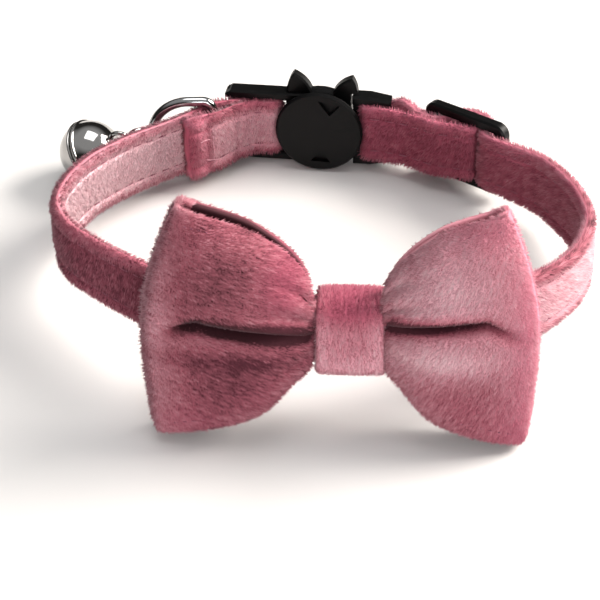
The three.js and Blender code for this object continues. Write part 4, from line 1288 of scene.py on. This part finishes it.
def bell_cutter():
    reach = BELL_RADIUS * 0.72
    low = -BELL_RADIUS - 1
    high = -BELL_RADIUS * 0.3
    middle = (low + high) / 2
    bm = bmesh.new()
    for x, y in ((reach, BELL_SLOT / 2), (BELL_SLOT / 2, reach)):
        size = Matrix.Diagonal((2 * x, 2 * y, high - low, 1))
        bmesh.ops.create_cube(bm, size=1, matrix=Matrix.Translation((0, 0, middle)) @ size)
    for i in range(4):
        angle = math.pi / 2 * i
        place = Matrix.Translation((reach * math.cos(angle), reach * math.sin(angle), middle))
        bmesh.ops.create_cone(
            bm, cap_ends=True, segments=32, radius1=BELL_HOLE / 2, radius2=BELL_HOLE / 2,
            depth=high - low, matrix=place,
        )
    return bm


def as_object(bm, name):
    data = bpy.data.meshes.new(name)
    bm.to_mesh(data)
    bm.free()
    thing = bpy.data.objects.new(name, data)
    bpy.context.scene.collection.objects.link(thing)
    return thing


def settled(thing, *helpers):
    """A bmesh of the thing with its modifiers or curve bevel in it. The objects are removed."""
    done = thing.evaluated_get(bpy.context.evaluated_depsgraph_get())
    bm = bmesh.new()
    bm.from_mesh(bpy.data.meshes.new_from_object(done))
    for used in (thing, *helpers):
        bpy.data.objects.remove(used)
    return bm


def bell_cup():
    cup = as_object(bell_bowl(-1), "cup_before_cut")
    cutter = as_object(bell_cutter(), "cross_cutter")
    cut = cup.modifiers.new("cross", "BOOLEAN")
    cut.object = cutter
    cut.operation = "DIFFERENCE"
    cut.solver = "EXACT"
    cut.use_self = True
    bm = settled(cup, cutter)
    bm.transform(bell_to_table)
    return finish_piece("bell_cup_shell", bm, plated_bell, ["bell_cup"], 35)


def bell_pellet():
    down = Vector((0, math.tan(COLLAR_TIP), -1)).normalized()
    spot = bell_centre + down * (BELL_RADIUS - BELL_WALL - GAP - PELLET_RADIUS)
    bm = bmesh.new()
    bmesh.ops.create_uvsphere(bm, u_segments=32, v_segments=20, radius=PELLET_RADIUS * MM)
    bmesh.ops.translate(bm, verts=bm.verts, vec=to_table(spot))
    return finish_piece("bell_pellet_ball", bm, plated_bell, ["bell_pellet"])


bell_cap()
bell_cup()
bell_pellet()

# %% [markdown]
# ## Stitches and loose threads
# A seam runs along both edges of the strap, and another just inside the bow's upper and lower
# edges. Each stitch pulls the pile down, so the thread lies in a groove. One stitch is a small
# drawn-out ball half sunk in the cloth, set down again and again. The box seam on the left fold is
# sewn with a paler thread, and a few cut ends of it stand loose.

# %% Stitches
STITCH_PITCH = 2.5
STITCH_LENGTH = 1.7
STITCH_THICK = 0.26
STITCH_ABOVE = 0.22
BOW_STITCH_PITCH = 1.5
BOW_STITCH_LENGTH = 0.85
BOW_STITCH_THICK = 0.24
BOX_STITCH_PITCH = 1.5
BOX_STITCH_THICK = 0.17
BOX_STITCH_ABOVE = 0.32
THREAD_PLY = 0.3


def spun_thread(name, tint):
    material, shader = new_material(name)
    roughen(material, shader, mottle(material, THREAD_PLY, 2.0), 0.4, 0.05)
    shader.inputs["Base Color"].default_value = colour(tint)
    shader.inputs["Roughness"].default_value = 0.5
    return material


# The rose thread's own colour is darkened by painted shade, as the stitches lie in dimples of the
# pile
shaded_rose_thread = spun_thread("shaded_rose_polyester_thread", "#985468")
pale_thread = spun_thread("pale_polyester_thread", "#CF98A4")


def lay_stitches(name, seams, thick, material):
    """One small drawn-out ball for each (start, end, normal) in the collar's frame."""
    bm = bmesh.new()
    for start, end, normal in seams:
        along = (end - start) / 2
        side = along.cross(normal).normalized() * thick / 2
        up = normal.normalized() * thick / 2
        middle = (start + end) / 2
        axes = Matrix((along, side, up)).transposed().to_4x4()
        place = Matrix.Scale(MM, 4) @ collar_matrix @ Matrix.Translation(middle) @ axes
        bmesh.ops.create_icosphere(bm, subdivisions=2, radius=1, matrix=place)
    bmesh.ops.recalc_face_normals(bm, faces=bm.faces)
    return finish_piece(name, bm, material)


def on_strap(run, up, side, above):
    """A place that far above the cloth. side is 1 or -1, as out is in the section."""
    rise = side * above + cloth_dent(run, up, side)
    return strap_point(strap_at(run), up, side * section_out(up), rise)


def strap_seams():
    seams = []
    count = int(strap_length / STITCH_PITCH)
    for i in range(count):
        run = (i + 0.3) * STITCH_PITCH
        for up in (-SEAM_UP, SEAM_UP):
            for side in (-1, 1):
                start = on_strap(run, up, side, STITCH_ABOVE)
                end = on_strap(min(run + STITCH_LENGTH, strap_length), up, side, STITCH_ABOVE)
                way = strap_at(run)[1]
                seams.append((start, end, Vector((way.y, -way.x, 0)) * side))
    return seams


def bow_seams():
    """Short stitches inside the upper and lower edges of the bow's front layer."""
    seams = []
    lean = bow_matrix.to_3x3()
    for wing in (-1, 1):
        length = WING_LEFT if wing < 0 else WING_RIGHT
        for level in (0.9, -0.91):
            for i in range(int(length * 0.68 / BOW_STITCH_PITCH)):
                start = 0.27 + i * BOW_STITCH_PITCH / length
                ends = []
                for reach in (start, start + BOW_STITCH_LENGTH / length):
                    spot = bow_point(wing, 1, reach, level)
                    spot.y -= BOW_WALL / 2 + 0.15
                    ends.append(bow_matrix @ spot)
                seams.append((*ends, lean @ Vector((0, -1, 0))))
    return seams


def box_seam():
    """The box of pale stitches on the left fold, as run and up along its sides."""
    corners = [(4.6, -SEAM_UP), (9.6, -SEAM_UP), (9.6, SEAM_UP), (4.6, SEAM_UP)]
    seams = []
    for (run_a, up_a), (run_b, up_b) in zip(corners, corners[1:] + corners[:1]):
        span = math.hypot(run_b - run_a, (up_b - up_a) * STRAP_WIDTH / 2)
        count = round(span / BOX_STITCH_PITCH)
        for i in range(count):
            places = []
            for share in ((i + 0.15) / count, (i + 0.85) / count):
                run = run_a + (run_b - run_a) * share
                up = up_a + (up_b - up_a) * share
                places.append(on_strap(run, up, 1, BOX_STITCH_ABOVE))
            way = strap_at(run_a)[1]
            seams.append((*places, Vector((way.y, -way.x, 0))))
    return seams


lay_stitches("strap_stitches", strap_seams(), STITCH_THICK, shaded_rose_thread)
lay_stitches("bow_stitches", bow_seams(), BOW_STITCH_THICK, shaded_rose_thread)
lay_stitches("box_stitches", box_seam(), BOX_STITCH_THICK, pale_thread)

# %% [markdown]
# The loose ends are curves with a round bevel, because a bent thread has one thickness and no
# section to draw. They become meshes at once.

# %% Loose threads
THREAD_RADIUS = 0.055
# run, up and height above the cloth of the points along each loose end
LOOSE_ENDS = [
    [(1.6, 0.3, 0.45), (2.8, 0.34, 0.7), (4.0, 0.22, 0.5)],
    [(2.8, -0.42, 0.45), (4.6, -0.58, 0.7), (6.6, -0.62, 0.5)],
    [(8.1, 0.35, 0.45), (8.4, 0.2, 0.8), (8.5, 0.08, 0.5)],
]


def loose_threads():
    curve = bpy.data.curves.new("loose_thread_line", "CURVE")
    curve.dimensions = "3D"
    curve.bevel_depth = THREAD_RADIUS * MM
    curve.bevel_resolution = 2
    curve.use_fill_caps = True
    for ends in LOOSE_ENDS:
        spline = curve.splines.new("NURBS")
        spline.points.add(len(ends) - 1)
        for point, (run, up, above) in zip(spline.points, ends):
            point.co = (*to_table(on_strap(run, up, 1, above)), 1)
        spline.use_endpoint_u = True
        spline.order_u = 3
    holder = bpy.data.objects.new("loose_thread_line", curve)
    bpy.context.scene.collection.objects.link(holder)
    return finish_piece("loose_threads", settled(holder), pale_thread)


loose_threads()

# %% [markdown]
# ## Floor and light
# The collar stands on a white table. One big soft light from the right lights the strap's pale
# faces and leaves its dark ones in shade, on top of the light and shade painted into the velvet. A
# broad light from above keeps the shadows soft, and a low one in front lifts the bow.

# %% Floor and lights
PAPER_CLOUD = 40


def white_table():
    material, shader = new_material("white_table_paper")
    tint = add(
        material, "ShaderNodeValToRGB", {"Fac": mottle(material, PAPER_CLOUD, 2.0)},
        ramp=[(0.0, colour("#DAD8D6")), (1.0, colour("#DEDCDB"))],
    )
    material.node_tree.links.new(tint.outputs["Color"], shader.inputs["Base Color"])
    shader.inputs["Roughness"].default_value = 0.8
    return material


def make_floor():
    bm = bmesh.new()
    bmesh.ops.create_grid(bm, x_segments=1, y_segments=1, size=2.5)
    data = bpy.data.meshes.new("floor")
    bm.to_mesh(data)
    bm.free()
    floor = bpy.data.objects.new("floor", data)
    bpy.context.scene.collection.objects.link(floor)
    floor.data.materials.append(white_table())
    return floor


def soft_light(name, at, size, power, tint="#FFFFFF"):
    data = bpy.data.lights.new(name, "AREA")
    data.shape = "SQUARE"
    data.size = size
    data.energy = power
    data.color = colour(tint)[:3]
    light = bpy.data.objects.new(name, data)
    bpy.context.scene.collection.objects.link(light)
    light.location = at
    light.rotation_euler = (-Vector(at)).to_track_quat("-Z", "Y").to_euler()


make_floor()
soft_light("window_right", (0.57, 0.24, 0.4), 0.4, 13.0, "#FFF9F2")
soft_light("ceiling", (0.05, 0.2, 0.95), 0.6, 3.6)
soft_light("front_fill", (0.2, -0.8, 0.3), 0.5, 4.8)

# %% [markdown]
# Plated metal and black plastic show what stands round them. A plain white surround would turn
# both to grey, so the world is bright overhead and dim towards the sides, as a room with a
# window is.

# %% Surround
SURROUND_RAMP = [(0.0, "#4A4846"), (0.45, "#504E4C"), (0.75, "#FFFFFF")]


def studio_world():
    world = bpy.data.worlds.new("studio")
    world.use_nodes = True
    tree = world.node_tree
    direction = tree.nodes.new("ShaderNodeTexCoord")
    split = tree.nodes.new("ShaderNodeSeparateXYZ")
    ramp = tree.nodes.new("ShaderNodeValToRGB")
    tree.links.new(direction.outputs["Generated"], split.inputs[0])
    tree.links.new(split.outputs["Z"], ramp.inputs["Fac"])
    tree.links.new(ramp.outputs["Color"], tree.nodes["Background"].inputs["Color"])
    steps = ramp.color_ramp.elements
    steps.new(0.45)
    for step, (place, shade) in zip(steps, SURROUND_RAMP):
        step.position = place
        step.color = colour(shade)
    tree.nodes["Background"].inputs["Strength"].default_value = 0.5
    return world


bpy.context.scene.world = studio_world()
bpy.context.scene.view_settings.view_transform = "Standard"
print("lights set")
